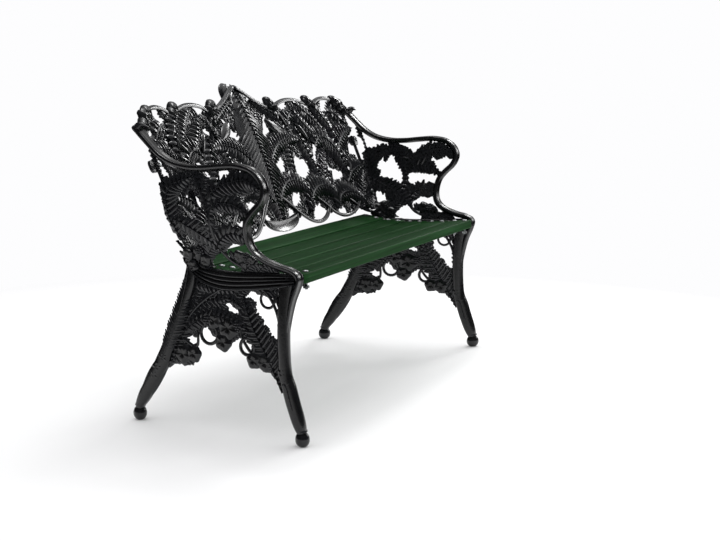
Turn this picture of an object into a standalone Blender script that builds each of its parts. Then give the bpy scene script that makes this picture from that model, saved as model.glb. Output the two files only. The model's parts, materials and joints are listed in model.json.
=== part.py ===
"""Garden bench in the fern pattern: two cast-iron ends, a cast-iron back and five seat boards,
held together by bolts. Metres, +Z up. The front faces -Y and the floor is at Z = 0."""

import math

import bmesh
import bpy
from mathutils import Matrix, Vector

# ---- driving dimensions ----
END_SPACING = 1.290  # between the middle planes of the two ends, half way from front to rear
END_SPLAY = 0.142  # how much each end turns outwards for each metre towards the front
SEAT_HEIGHT = 0.441  # top of the seat at its front edge
SEAT_DEPTH = 0.370  # front edge of the first board to rear edge of the last
SEAT_FRONT = -0.262  # where the front edge of the first board is
SEAT_DIP = 0.010  # how far the hollow of the seat lies under its front edge
SEAT_REAR_RISE = 0.020  # how far the rear edge rises out of that hollow
SEAT_DIP_SHARE = 0.60  # where the hollow is, as a share of the depth
BOARDS = 5
BOARD_GAP = 0.008
BOARD_THICKNESS = 0.026
BOARD_EDGE = 0.003  # rounding of the long edges
BOARD_END_CLEARANCE = 0.003

PANEL = 0.011  # thickness of the pierced panel of an end
RIM = 0.018  # thickness of the moulded rim, in the plane of the end
RIM_WIDTH = 0.036  # its width, across the end
LEG_WIDTH = 0.032
LEDGE_REACH = 0.062  # how far the ledge under the boards reaches inwards
LEDGE_THICKNESS = 0.009
ELBOW_RISE = 0.120  # the arm leans outwards most between the seat and this height above it
ELBOW_FLARE = 0.046
UPPER_FLARE = 0.080  # outward lean for each metre above the elbow
FOOT_RADIUS = 0.020
FOOT_HEIGHT = 0.038
FOOT_FACE = 0.013  # radius of the flat that stands on the floor

BACK_RAKE = 0.41  # backwards for each metre up
BACK_SETBACK = 0.004  # from the rear edge of the seat to the back's plane, at the middle of the bench
BACK_RISE = 0.012  # the height above the seat's front edge where that is measured
BACK_TUB = 0.110  # the back curves forwards by this times the square of the distance from the middle
BACK_THICKNESS = 0.011
BACK_FACETS = 4  # flat strips that make up each half of the curve

TWIG = 0.0065  # radius of the twigs along the top of the back, and half the width of the other stems
SIDE_STEM = 0.020  # width of the stem that carries the back's bolts
STEM_WIDTH = 0.015  # stems of the ends
RING_WIDTH = 0.011
BUD_WIDTH = 0.038
BOSS_RADIUS = 0.021  # of the leaf that stiffens a casting round a bolt

BOLT = 0.0040  # radius of every bolt's shank
BOLT_HEAD = 0.0085
BOLT_HEAD_HEIGHT = 0.0045
BOLT_CLEARANCE = 0.0004
BOLT_INSET = 0.034  # from the middle plane of the end to the bolts that hold the boards
BOLT_TAIL = 0.0030
BOLT_SHARES = (0.25, 0.75)  # the bolts' places across a board, as shares of its width
NUT_SIDE = 0.013
NUT_THICKNESS = 0.0065
JOINT_RISES = (0.084, 0.259)  # above the seat, where the back is bolted to each end
JOINT_INSET = 0.030
LUG_SIDE = 0.034
LUG_THICKNESS = 0.008
GAP = 0.0003  # between pieces that touch

# ---- the sizes that the castings' outlines are drawn for ----
DRAWN_SEAT_HEIGHT = 0.441
DRAWN_SEAT_FRONT = -0.262
DRAWN_SEAT_DEPTH = 0.370
DRAWN_FOOT_HEIGHT = 0.038
DRAWN_SPACING = 1.290
DRAWN_RAKE = 0.41
DRAWN_ARM_FRONT = -0.190  # the part of an end behind this follows the rake of the back

# ---- materials ----
IRON = ("enamelled_cast_iron", (0.012, 0.012, 0.014), 0.28, 0.0)
TIMBER = ("painted_softwood", (0.030, 0.085, 0.038), 0.45, 0.0)
STEEL = ("zinc_plated_steel", (0.55, 0.56, 0.57), 0.38, 1.0)


def clear_scene():
    for thing in list(bpy.data.objects):
        bpy.data.objects.remove(thing)


def new_collection(name):
    group = bpy.data.collections.new(name)
    bpy.context.scene.collection.children.link(group)
    return group


def material(finish):
    name, colour, roughness, metallic = finish
    made = bpy.data.materials.get(name) or bpy.data.materials.new(name)
    made.use_nodes = True
    shader = made.node_tree.nodes["Principled BSDF"]
    shader.inputs["Base Color"].default_value = (*colour, 1.0)
    shader.inputs["Roughness"].default_value = roughness
    shader.inputs["Metallic"].default_value = metallic
    return made


# ---- places ----
def seat_top(y):
    """Height of the hollowed seat at this depth."""
    hollow = SEAT_FRONT + SEAT_DEPTH * SEAT_DIP_SHARE
    low = SEAT_HEIGHT - SEAT_DIP
    if y < hollow:
        return low + SEAT_DIP * ((hollow - y) / (hollow - SEAT_FRONT)) ** 2
    return low + SEAT_REAR_RISE * ((y - hollow) / (SEAT_FRONT + SEAT_DEPTH - hollow)) ** 2


def end_plane(y, z):
    """How far out the middle plane of an end is."""
    elbow = SEAT_HEIGHT + ELBOW_RISE
    lean = ELBOW_FLARE * min(max(z - SEAT_HEIGHT, 0.0) / ELBOW_RISE, 1.0)
    return END_SPACING / 2 - END_SPLAY * y + lean + UPPER_FLARE * max(z - elbow, 0.0)


def fitted_height(z):
    """A drawn height moved to suit the seat: the legs stretch, and what is above the seat moves with it."""
    if z >= DRAWN_SEAT_HEIGHT:
        return z + SEAT_HEIGHT - DRAWN_SEAT_HEIGHT
    stretch = (SEAT_HEIGHT - FOOT_HEIGHT) / (DRAWN_SEAT_HEIGHT - DRAWN_FOOT_HEIGHT)
    return FOOT_HEIGHT + (z - DRAWN_FOOT_HEIGHT) * stretch


def fitted_end(points):
    """Drawn (depth, height) points of an end, moved to suit the seat and the rake of the back."""
    fitted = []
    for y, z in points:
        rise = max(z - DRAWN_SEAT_HEIGHT, 0.0)
        share = max(y - DRAWN_ARM_FRONT, 0.0) / (DRAWN_RAKE * rise - DRAWN_ARM_FRONT)
        depth = SEAT_FRONT + (y - DRAWN_SEAT_FRONT) * SEAT_DEPTH / DRAWN_SEAT_DEPTH
        fitted.append((depth + (BACK_RAKE - DRAWN_RAKE) * rise * share, fitted_height(z)))
    return fitted


def fitted_back(points):
    """Drawn (across, height) points of the back, moved to suit the length of the bench and the seat."""
    return [(x * END_SPACING / DRAWN_SPACING, fitted_height(z)) for x, z in points]


def joint_heights():
    return [SEAT_HEIGHT + rise for rise in JOINT_RISES]


def back_stations():
    """Where the facets of the curved back meet, from the middle outwards."""
    reach = END_SPACING / 2 + ELBOW_FLARE
    return [reach * step / BACK_FACETS for step in range(BACK_FACETS + 1)]


def back_plane(x, z):
    """Depth of the middle of the back at this place."""
    stations = back_stations()
    width = stations[1]
    step = min(int(abs(x) / width), BACK_FACETS - 1)
    share = abs(x) / width - step
    near, far = (BACK_TUB * stations[index] ** 2 for index in (step, step + 1))
    bow = near + (far - near) * share
    foot = SEAT_FRONT + SEAT_DEPTH + BACK_SETBACK
    return foot + BACK_RAKE * (z - SEAT_HEIGHT - BACK_RISE) - bow


def smooth(points, count):
    """This many points along a smooth line through the given ones."""
    points = [Vector(point) for point in points]
    ends = [2 * points[0] - points[1], *points, 2 * points[-1] - points[-2]]
    line = []
    for number in range(count):
        place = number / (count - 1) * (len(points) - 1)
        index = min(int(place), len(points) - 2)
        t = place - index
        a, b, c, d = ends[index : index + 4]
        square = (2 * a - 5 * b + 4 * c - d) * t**2
        cube = (3 * b - a - 3 * c + d) * t**3
        line.append(0.5 * (2 * b + (c - a) * t + square + cube))
    return line


# ---- making and joining ----
def add_mesh(name, mesh, group):
    thing = bpy.data.objects.new(name, mesh)
    group.objects.link(thing)
    return thing


def tidy_mesh(mesh, weld=1e-5):
    work = bmesh.new()
    work.from_mesh(mesh)
    bmesh.ops.remove_doubles(work, verts=work.verts, dist=weld)
    bmesh.ops.recalc_face_normals(work, faces=work.faces)
    work.to_mesh(mesh)
    work.free()


def evaluated_mesh(thing):
    bpy.context.view_layer.update()
    graph = bpy.context.evaluated_depsgraph_get()
    return bpy.data.meshes.new_from_object(thing.evaluated_get(graph))


def curve_to_mesh(curve, lift):
    """The curve as a closed mesh, lifted this far off the plane it was drawn in."""
    drawn = bpy.data.objects.new(curve.name, curve)
    workshop.objects.link(drawn)
    drawn.location.z = lift
    mesh = evaluated_mesh(drawn)
    solid = add_mesh(curve.name, mesh, workshop)
    solid.matrix_world = drawn.matrix_world
    bpy.data.objects.remove(drawn)
    tidy_mesh(mesh)
    return solid


def add_spline(curve, points, cyclic):
    spline = curve.splines.new("POLY")
    spline.points.add(len(points) - 1)
    for place, point in zip(spline.points, points):
        place.co = (point[0], point[1], 0.0, 1.0)
    spline.use_cyclic_u = cyclic


def plate(name, loops, thickness, lift=0.0):
    """A flat piece cut to an outline; any further loops are holes in it."""
    curve = bpy.data.curves.new(name, "CURVE")
    curve.dimensions = "2D"
    curve.fill_mode = "BOTH"
    curve.extrude = thickness / 2
    for loop in loops:
        add_spline(curve, loop, True)
    return curve_to_mesh(curve, lift)


def rod(name, points, radius, width=0.0):
    """A rounded rod; with a width it is a flat moulding with round edges."""
    curve = bpy.data.curves.new(name, "CURVE")
    curve.dimensions = "3D"
    curve.twist_mode = "Z_UP"
    curve.bevel_depth = radius
    curve.bevel_resolution = 1
    curve.extrude = max(width / 2 - radius, 0.0)
    curve.use_fill_caps = True
    add_spline(curve, points, False)
    return curve_to_mesh(curve, 0.0)


def leaf_sides(line, reaches, leans):
    """The outline that reaches this far to each side of a line; on the inside of a bend it stays short of the
    bend's own centre."""
    sides = ([], [])
    for number in range(1, len(line) - 1):
        before = line[number] - line[number - 1]
        after = line[number + 1] - line[number]
        along = (before + after).normalized()
        across = Vector((-along.y, along.x))
        bend_here = 2 * before.cross(after) / (before.length * after.length * (before + after).length)
        for side, sign in zip(sides, (1, -1)):
            tightest = 0.7 / max(bend_here * sign, 1e-6)
            reach = min(reaches[number], tightest)
            side.append(line[number] + across * reach * sign + along * leans[number] * reach)
    return sides


def frond(spine, width, leaflets, thickness):
    """A fern frond in outline: each leaflet is a tooth that leans towards the tip."""
    line = smooth(spine, 2 * leaflets + 2)
    reaches = []
    for number in range(len(line)):
        share = number / (len(line) - 1)
        notch = 0.62 if number % 2 else 1.0
        reaches.append(notch * width / 2 * math.sin(math.pi * share**0.65) ** 0.7)
    leans = [0.0 if number % 2 else 0.25 for number in range(len(line))]
    sides = leaf_sides(line, reaches, leans)
    outline = [line[0], *sides[0], line[-1], *reversed(sides[1])]
    return plate("frond", [outline], thickness)


def band(spine, width, thickness, count):
    """A flat stem of even width with pointed ends."""
    line = smooth(spine, count)
    sides = leaf_sides(line, [width / 2] * count, [0.0] * count)
    outline = [line[0], *sides[0], line[-1], *reversed(sides[1])]
    return plate("band", [outline], thickness)


def lobed_leaf(centre, radius, lobes, thickness):
    steps = 3 * lobes
    outline = []
    for number in range(steps):
        angle = 2 * math.pi * number / steps
        reach = radius * (0.86 + 0.14 * math.cos(lobes * angle))
        outline.append((centre[0] + reach * math.cos(angle), centre[1] + reach * math.sin(angle)))
    return plate("leaf", [outline], thickness)


def ring(centre, radius, width, thickness):
    loops = []
    for reach in (radius + width / 2, radius - width / 2):
        loop = []
        for number in range(10):
            angle = 2 * math.pi * number / 10
            loop.append((centre[0] + reach * math.cos(angle), centre[1] + reach * math.sin(angle)))
        loops.append(loop)
    return plate("ring", loops, thickness)


def turned(name, profile, steps):
    """A turned solid: the profile runs down its outer side from the top."""
    mesh = bpy.data.meshes.new(name)
    points = [(radius, 0.0, height) for radius, height in profile]
    mesh.from_pydata(points, [(index, index + 1) for index in range(len(points) - 1)], [])
    spun = add_mesh(name, mesh, workshop)
    screw = spun.modifiers.new("turn", "SCREW")
    screw.steps = steps
    screw.render_steps = steps
    screw.use_merge_vertices = True
    screw.merge_threshold = 0.00001
    made = evaluated_mesh(spun)
    bpy.data.objects.remove(spun)
    tidy_mesh(made)
    return made


def combine(base, tools, operation):
    """The base with every tool joined to it or cut from it; the tools are used up.

    The solver is MANIFOLD, because EXACT leaves open edges where many plates of one thickness overlap."""
    batch = bpy.data.collections.new("batch")
    workshop.children.link(batch)
    for tool in tools:
        for owner in tool.users_collection:
            owner.objects.unlink(tool)
        batch.objects.link(tool)
    boolean = base.modifiers.new(operation.lower(), "BOOLEAN")
    boolean.operation = operation
    boolean.operand_type = "COLLECTION"
    boolean.collection = batch
    boolean.solver = "MANIFOLD"
    mesh = evaluated_mesh(base)
    base.modifiers.remove(boolean)
    base.data = mesh
    for tool in tools:
        bpy.data.objects.remove(tool)
    bpy.data.collections.remove(batch)
    tidy_mesh(mesh, 2e-6)
    return base


def bend(thing, bends, place):
    """Creases the flat casting along straight lines, then puts every corner at its place in the bench."""
    work = bmesh.new()
    work.from_mesh(thing.data)
    work.transform(thing.matrix_world)
    for point, normal in bends:
        geometry = [*work.verts, *work.edges, *work.faces]
        bmesh.ops.bisect_plane(work, geom=geometry, plane_co=point, plane_no=normal, dist=1e-6)
    for corner in work.verts:
        corner.co = place(corner.co)
    bmesh.ops.triangulate(work, faces=work.faces)
    bmesh.ops.recalc_face_normals(work, faces=work.faces)
    work.to_mesh(thing.data)
    work.free()
    thing.matrix_world = Matrix.Identity(4)


def mirrored(mesh, name):
    work = bmesh.new()
    work.from_mesh(mesh)
    work.transform(Matrix.Scale(-1, 4, (1, 0, 0)))
    bmesh.ops.reverse_faces(work, faces=work.faces)
    copy = bpy.data.meshes.new(name)
    work.to_mesh(copy)
    work.free()
    return copy


def cylinder(name, radius, length, matrix, sides=8):
    mesh = bpy.data.meshes.new(name)
    work = bmesh.new()
    bmesh.ops.create_cone(work, cap_ends=True, segments=sides, radius1=radius, radius2=radius, depth=length)
    work.to_mesh(mesh)
    work.free()
    thing = add_mesh(name, mesh, workshop)
    thing.matrix_world = matrix
    return thing


def finish_object(name, mesh, finish):
    mesh.name = name
    thing = add_mesh(name, mesh, bench)
    if not mesh.materials:
        mesh.materials.append(material(finish))
    mesh.shade_smooth()
    mesh.set_sharp_from_angle(angle=math.radians(35))
    thing.parent = standing_frame
    return thing


# ---- the seat boards and their bolts ----
def board_edges():
    """Front and rear edge of each board's top, as (y, z)."""
    width = (SEAT_DEPTH - (BOARDS - 1) * BOARD_GAP) / BOARDS
    edges = []
    for number in range(BOARDS):
        front = SEAT_FRONT + number * (width + BOARD_GAP)
        edges.append((Vector((front, seat_top(front))), Vector((front + width, seat_top(front + width)))))
    return edges


def board_frame(front, rear):
    """Middle of a board's top, and its tilt."""
    middle = (front + rear) / 2
    run = rear - front
    return middle, math.atan2(run.y, run.x)


def board_reach(y):
    """How far out a board's end is at this depth."""
    return end_plane(y, 0.0) - RIM_WIDTH / 2 - BOARD_END_CLEARANCE


def board_bolt_places():
    """(board, end, bolt, matrix) for each bolt that holds a board; the matrix is at the board's top."""
    places = []
    for number, (front, rear) in enumerate(board_edges()):
        tilt = board_frame(front, rear)[1]
        for end in (-1, 1):
            for bolt, share in enumerate(BOLT_SHARES):
                y, z = front.lerp(rear, share)
                x = end * (board_reach(y) - BOLT_INSET)
                matrix = Matrix.Translation((x, y, z)) @ Matrix.Rotation(tilt, 4, "X")
                places.append((number, end, bolt, matrix))
    return places


def make_boards():
    for number, (front, rear) in enumerate(board_edges()):
        middle, tilt = board_frame(front, rear)
        frame = Matrix.Translation((0, middle.x, middle.y)) @ Matrix.Rotation(tilt, 4, "X")
        work = bmesh.new()
        bmesh.ops.create_cube(work, size=1.0)
        for corner in work.verts:
            end = math.copysign(1.0, corner.co.x)
            corner.co = (0, corner.co.y * (rear - front).length, (corner.co.z - 0.5) * BOARD_THICKNESS)
            corner.co.x = end * board_reach((frame @ corner.co).y)
        edges = []
        for edge in work.edges:
            if edge.verts[0].co.x * edge.verts[1].co.x < 0:
                edges.append(edge)
        bmesh.ops.bevel(work, geom=edges, offset=BOARD_EDGE, segments=2, profile=0.5, affect="EDGES")
        mesh = bpy.data.meshes.new("board")
        work.to_mesh(mesh)
        work.free()
        board = add_mesh("board", mesh, workshop)
        board.matrix_world = frame
        holes = []
        for owner, _, _, matrix in board_bolt_places():
            if owner == number:
                holes.append(cylinder("hole", BOLT + BOLT_CLEARANCE, BOARD_THICKNESS * 4, matrix))
        combine(board, holes, "DIFFERENCE")
        mesh = board.data
        bpy.data.objects.remove(board)
        placed = finish_object(f"seat_board_{number + 1}", mesh, TIMBER)
        placed.matrix_local = frame


def bolt_mesh(grip):
    """A dome-headed bolt through a stack this thick, with its nut and its tail below."""
    tail = -(grip + NUT_THICKNESS + GAP + BOLT_TAIL)
    profile = [
        (0.0, GAP + BOLT_HEAD_HEIGHT),
        (BOLT_HEAD * 0.72, GAP + BOLT_HEAD_HEIGHT * 0.66),
        (BOLT_HEAD, GAP),
        (BOLT, GAP),
        (BOLT, tail),
        (0.0, tail),
    ]
    return turned("bolt", profile, 8)


def nut_mesh():
    half = NUT_SIDE / 2
    square = [(-half, -half), (half, -half), (half, half), (-half, half)]
    hole = []
    for number in range(8):
        angle = 2 * math.pi * number / 8
        hole.append(((BOLT + BOLT_CLEARANCE) * math.cos(angle), (BOLT + BOLT_CLEARANCE) * math.sin(angle)))
    solid = plate("nut", [square, hole], NUT_THICKNESS)
    mesh = solid.data
    bpy.data.objects.remove(solid)
    return mesh


def fasten(name, matrix, grip, bolt, nut):
    """A bolt whose head bears on the matrix's origin, and the nut at the far side of the stack."""
    placed = finish_object(f"{name}_bolt", bolt, STEEL)
    placed.matrix_local = matrix
    under = Matrix.Translation((0, 0, -grip - GAP - NUT_THICKNESS / 2))
    placed = finish_object(f"{name}_nut", nut, STEEL)
    placed.matrix_local = matrix @ under


def board_grip():
    return BOARD_THICKNESS + GAP + LEDGE_THICKNESS


def make_board_bolts():
    bolt = bolt_mesh(board_grip())
    nut = nut_mesh()
    for number, end, place, matrix in board_bolt_places():
        side = "left" if end < 0 else "right"
        fasten(f"board_{number + 1}_{side}_{place + 1}", matrix, board_grip(), bolt, nut)


# ---- where the back is bolted to the ends ----
def joint_place(height):
    """Point in the middle of the back's thickness where the right-hand bolt passes at this height."""
    x = END_SPACING / 2
    for _ in range(20):
        x = end_plane(back_plane(x, height), height) - JOINT_INSET
    return Vector((x, back_plane(x, height), height))


def joint_frame(height):
    """The bolt's frame: +Z points to the front, square to the back; its origin is on the back's front face."""
    place = joint_place(height)
    step = 0.001
    slope_x = (back_plane(place.x + step, height) - back_plane(place.x - step, height)) / (2 * step)
    slope_z = (back_plane(place.x, height + step) - back_plane(place.x, height - step)) / (2 * step)
    front = Vector((slope_x, -1.0, slope_z)).normalized()
    sideways = Vector((1.0, slope_x, 0.0)).normalized()
    upwards = front.cross(sideways)
    turn = Matrix((sideways, upwards, front)).transposed().to_4x4()
    return Matrix.Translation(place + front * back_wall(front) / 2) @ turn


def back_wall(front):
    """Thickness of the back measured square to its face."""
    return BACK_THICKNESS * -front.y


def joint_wall(height):
    frame = joint_frame(height)
    return back_wall(frame.to_3x3() @ Vector((0, 0, 1)))


def joint_grip(height):
    return joint_wall(height) + GAP + LUG_THICKNESS


def lug(height):
    """The ear of the right-hand end that lies behind the back and takes the bolt."""
    inner = -LUG_SIDE / 2
    outer = JOINT_INSET
    work = bmesh.new()
    bmesh.ops.create_cube(work, size=1.0)
    for corner in work.verts:
        corner.co.x = inner if corner.co.x < 0 else outer
        corner.co.y *= LUG_SIDE
        corner.co.z = -joint_wall(height) - GAP - (0.5 - corner.co.z) * LUG_THICKNESS
    mesh = bpy.data.meshes.new("lug")
    work.to_mesh(mesh)
    work.free()
    thing = add_mesh("lug", mesh, workshop)
    thing.matrix_world = joint_frame(height)
    return thing


def joint_holes():
    radius = BOLT + BOLT_CLEARANCE
    return [cylinder("hole", radius, LUG_SIDE * 3, joint_frame(height)) for height in joint_heights()]


def make_joint_bolts():
    nut = nut_mesh()
    flip = Matrix.Scale(-1, 4, (1, 0, 0))
    for number, height in enumerate(joint_heights()):
        bolt = bolt_mesh(joint_grip(height))
        right = joint_frame(height)
        left = flip @ right @ flip
        fasten(f"back_right_{number + 1}", right, joint_grip(height), bolt, nut)
        fasten(f"back_left_{number + 1}", left, joint_grip(height), bolt, nut)


# ---- the cast ends, drawn flat as (y, z) ----
RIM_LINE = (
    (0.214, 0.798), (0.176, 0.762), (0.140, 0.730), (0.100, 0.707), (0.050, 0.696), (0.000, 0.695),
    (-0.050, 0.700), (-0.100, 0.705), (-0.145, 0.697), (-0.172, 0.675), (-0.180, 0.648), (-0.168, 0.620),
    (-0.145, 0.597), (-0.126, 0.573), (-0.118, 0.545), (-0.119, 0.515), (-0.130, 0.490), (-0.155, 0.470),
    (-0.195, 0.455), (-0.232, 0.446), (-0.252, 0.432), (-0.246, 0.405), (-0.236, 0.370), (-0.233, 0.300),
)
FRONT_LEG = (
    (-0.252, 0.425), (-0.236, 0.385), (-0.228, 0.335), (-0.225, 0.280), (-0.226, 0.225), (-0.231, 0.180),
    (-0.244, 0.150), (-0.256, 0.110), (-0.269, 0.070), (-0.274, 0.046), (-0.262, 0.034), (-0.246, 0.036),
    (-0.232, 0.060), (-0.219, 0.095), (-0.205, 0.130), (-0.196, 0.165), (-0.193, 0.220), (-0.191, 0.290),
    (-0.193, 0.350), (-0.200, 0.410),
)
REAR_LEG = (
    (0.100, 0.436), (0.103, 0.420), (0.112, 0.385), (0.128, 0.340), (0.145, 0.295), (0.170, 0.240),
    (0.200, 0.186), (0.229, 0.140), (0.252, 0.100), (0.272, 0.068), (0.279, 0.046), (0.264, 0.034),
    (0.248, 0.038), (0.233, 0.052), (0.216, 0.075), (0.198, 0.105), (0.178, 0.133), (0.155, 0.162),
    (0.138, 0.205), (0.115, 0.260), (0.088, 0.330), (0.062, 0.400), (0.060, 0.425),
)
FOOT_CENTRES = (-0.262, 0.264)
END_FRONDS = (
    (((0.062, 0.452), (0.084, 0.510), (0.108, 0.570), (0.128, 0.640), (0.154, 0.705), (0.196, 0.778)),
     0.056, 6),
    (((0.112, 0.500), (0.124, 0.555), (0.120, 0.612), (0.098, 0.650), (0.050, 0.680), (0.000, 0.688)),
     0.056, 6),
    (((-0.040, 0.470), (-0.010, 0.498), (0.030, 0.526), (0.065, 0.546), (0.112, 0.560)), 0.056, 5),
    (((0.050, 0.694), (0.020, 0.660), (0.000, 0.625), (-0.008, 0.590), (-0.004, 0.545)), 0.040, 4),
    (((-0.008, 0.622), (-0.050, 0.650), (-0.092, 0.664), (-0.132, 0.666), (-0.172, 0.650)), 0.056, 5),
    (((0.000, 0.585), (-0.030, 0.608), (-0.070, 0.613), (-0.103, 0.600), (-0.140, 0.580)), 0.050, 4),
    (((-0.012, 0.495), (-0.028, 0.522), (-0.055, 0.536), (-0.082, 0.533), (-0.120, 0.512)), 0.050, 4),
    (((-0.204, 0.132), (-0.166, 0.196), (-0.126, 0.258), (-0.098, 0.320), (-0.092, 0.400)), 0.066, 6),
    (((0.158, 0.180), (0.120, 0.250), (0.098, 0.320), (0.080, 0.405)), 0.070, 5),
    (((0.110, 0.280), (0.050, 0.345), (-0.010, 0.365), (-0.070, 0.355), (-0.110, 0.310)), 0.056, 5),
    (((0.105, 0.270), (0.050, 0.305), (0.000, 0.310), (-0.060, 0.305), (-0.125, 0.270)), 0.050, 4),
    (((0.020, 0.400), (-0.030, 0.385), (-0.080, 0.378), (-0.140, 0.392), (-0.200, 0.400)), 0.030, 4),
)
END_LEAVES = (
    ((-0.078, 0.466), 0.032, 5), ((0.058, 0.468), 0.034, 5), ((0.018, 0.448), 0.024, 4),
    ((-0.020, 0.246), 0.030, 5), ((-0.035, 0.283), 0.032, 6), ((0.082, 0.206), 0.030, 5),
    ((0.118, 0.200), 0.028, 5), ((-0.120, 0.208), 0.026, 5), ((-0.160, 0.200), 0.024, 4),
)
END_RINGS = (((0.034, 0.268), 0.032), ((-0.090, 0.250), 0.028), ((-0.158, 0.372), 0.022))
END_STEMS = (
    ((0.055, 0.700), (0.020, 0.660), (0.000, 0.622), (-0.008, 0.580), (-0.008, 0.530), (-0.040, 0.470),
     (-0.090, 0.440)),
    ((0.130, 0.230), (0.090, 0.300), (0.040, 0.350), (-0.030, 0.390), (-0.100, 0.405)),
    ((0.075, 0.440), (0.050, 0.460), (0.010, 0.480), (-0.020, 0.500)),
)
RAIL_DEPTH = 0.050
RAIL_RISE = 0.007  # how far the rail stands above the boards
RAIL_FRONT = 0.012  # the rail starts this far behind the seat's front edge
RAIL_REAR = 0.004  # and ends this far before its rear edge
RAIL_STEPS = 8


def rail_line(drop):
    """The seat rail's edge this far below the seat's own line."""
    front = SEAT_FRONT + RAIL_FRONT
    reach = SEAT_DEPTH - RAIL_FRONT - RAIL_REAR
    places = [front + reach * step / RAIL_STEPS for step in range(RAIL_STEPS + 1)]
    return [Vector((y, seat_top(y) - drop)) for y in places]


def rim_line():
    return smooth(fitted_end(RIM_LINE), 29)


def ledge_outline():
    upper = []
    for front, rear in board_edges():
        along = (rear - front).normalized()
        down = Vector((along.y, -along.x)) * (BOARD_THICKNESS + GAP)
        upper += [front + down - along * BOARD_GAP / 2, rear + down + along * BOARD_GAP / 2]
    lower = [point - Vector((0, LEDGE_THICKNESS)) for point in reversed(upper)]
    return upper + lower


def foot(y):
    """A bun foot with a flat face on the floor."""
    profile = [
        (0.0, FOOT_HEIGHT),
        (FOOT_RADIUS * 0.72, FOOT_HEIGHT),
        (FOOT_RADIUS * 0.70, FOOT_HEIGHT * 0.84),
        (FOOT_RADIUS, FOOT_HEIGHT * 0.60),
        (FOOT_RADIUS * 0.96, FOOT_HEIGHT * 0.28),
        (FOOT_FACE, 0.0),
        (0.0, 0.0),
    ]
    thing = add_mesh("foot", turned("foot", profile, 12), workshop)
    thing.matrix_world = Matrix.Translation((y, 0, 0)) @ Matrix.Rotation(math.radians(-90), 4, "X")
    return thing


def flat_end():
    """One end as it would lie flat: across is X, up is Y and out of the bench is Z."""
    outline = [*rail_line(-RAIL_RISE), *reversed(rail_line(RAIL_DEPTH))]
    base = plate("rail", [outline], RIM_WIDTH - 2 * GAP)
    others = [
        rod("rim", rim_line(), RIM / 2, RIM_WIDTH),
        plate("front_leg", [fitted_end(FRONT_LEG)], LEG_WIDTH),
        plate("rear_leg", [fitted_end(REAR_LEG)], LEG_WIDTH),
    ]
    depth = LEDGE_REACH + RIM_WIDTH / 2
    others.append(plate("ledge", [ledge_outline()], depth, lift=-depth / 2))
    for spine, width, leaflets in END_FRONDS:
        others.append(frond(fitted_end(spine), width, leaflets, PANEL))
    for centre, radius, lobes in END_LEAVES:
        others.append(lobed_leaf(fitted_end([centre])[0], radius, lobes, PANEL))
    for centre, radius in END_RINGS:
        others.append(ring(fitted_end([centre])[0], radius, RING_WIDTH, PANEL))
    for line in END_STEMS:
        others.append(band(fitted_end(line), STEM_WIDTH, PANEL, 9))
    for height in joint_heights():
        place = joint_place(height)
        others.append(lobed_leaf((place.y, place.z), BOSS_RADIUS, 3, PANEL))
    for y in FOOT_CENTRES:
        others.append(foot(fitted_end([(y, 0.0)])[0][0]))
    return combine(base, others, "UNION")


def place_right_end(flat):
    """From the flat casting to the right-hand end of the bench."""
    return Vector((end_plane(flat.x, flat.y) + flat.z, flat.x, flat.y))


def make_ends():
    casting = flat_end()
    elbow = SEAT_HEIGHT + ELBOW_RISE
    bend(casting, [((0, level, 0), (0, 1, 0)) for level in (SEAT_HEIGHT, elbow)], place_right_end)
    combine(casting, [lug(height) for height in joint_heights()], "UNION")
    holes = joint_holes()
    for _, end, _, matrix in board_bolt_places():
        if end > 0:
            holes.append(cylinder("hole", BOLT + BOLT_CLEARANCE, BOARD_THICKNESS * 4, matrix))
    combine(casting, holes, "DIFFERENCE")
    mesh = casting.data
    bpy.data.objects.remove(casting)
    finish_object("left_end_casting", mirrored(mesh, "left"), IRON)
    finish_object("right_end_casting", mesh, IRON)


# ---- the cast back, drawn flat as (x, z), right-hand half ----
BACK_FRONDS = (
    (((0.000, 0.470), (0.000, 0.600), (0.000, 0.700), (0.000, 0.830)), 0.170, 8),
    (((0.000, 0.690), (0.000, 0.760), (0.000, 0.830), (0.000, 0.905)), 0.220, 5),
    (((0.020, 0.545), (0.060, 0.585), (0.120, 0.600), (0.180, 0.585), (0.235, 0.530)), 0.056, 5),
    (((0.200, 0.490), (0.240, 0.550), (0.300, 0.572), (0.360, 0.560), (0.410, 0.505)), 0.056, 5),
    (((0.385, 0.480), (0.420, 0.535), (0.470, 0.548), (0.520, 0.530), (0.565, 0.480)), 0.052, 4),
    (((0.020, 0.620), (0.070, 0.670), (0.130, 0.712), (0.200, 0.735), (0.290, 0.725)), 0.062, 5),
    (((0.250, 0.750), (0.215, 0.690), (0.185, 0.650), (0.160, 0.585)), 0.046, 4),
    (((0.230, 0.700), (0.290, 0.715), (0.330, 0.680), (0.345, 0.630), (0.340, 0.555)), 0.050, 5),
    (((0.325, 0.545), (0.360, 0.620), (0.400, 0.670), (0.430, 0.740)), 0.046, 4),
    (((0.360, 0.690), (0.420, 0.722), (0.465, 0.700), (0.500, 0.655), (0.520, 0.585)), 0.062, 5),
    (((0.500, 0.500), (0.525, 0.560), (0.560, 0.620), (0.640, 0.680)), 0.062, 4),
    (((0.470, 0.690), (0.530, 0.720), (0.590, 0.735), (0.660, 0.730)), 0.052, 4),
    (((0.215, 0.735), (0.270, 0.790), (0.340, 0.815), (0.430, 0.810)), 0.056, 4),
    (((0.420, 0.710), (0.430, 0.765), (0.470, 0.795), (0.560, 0.800)), 0.052, 4),
    (((0.280, 0.700), (0.330, 0.750), (0.380, 0.772), (0.450, 0.765)), 0.052, 4),
    (((0.560, 0.700), (0.585, 0.760), (0.620, 0.815)), 0.046, 4),
    (((0.560, 0.470), (0.590, 0.530), (0.610, 0.600), (0.655, 0.650)), 0.056, 4),
)
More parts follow.
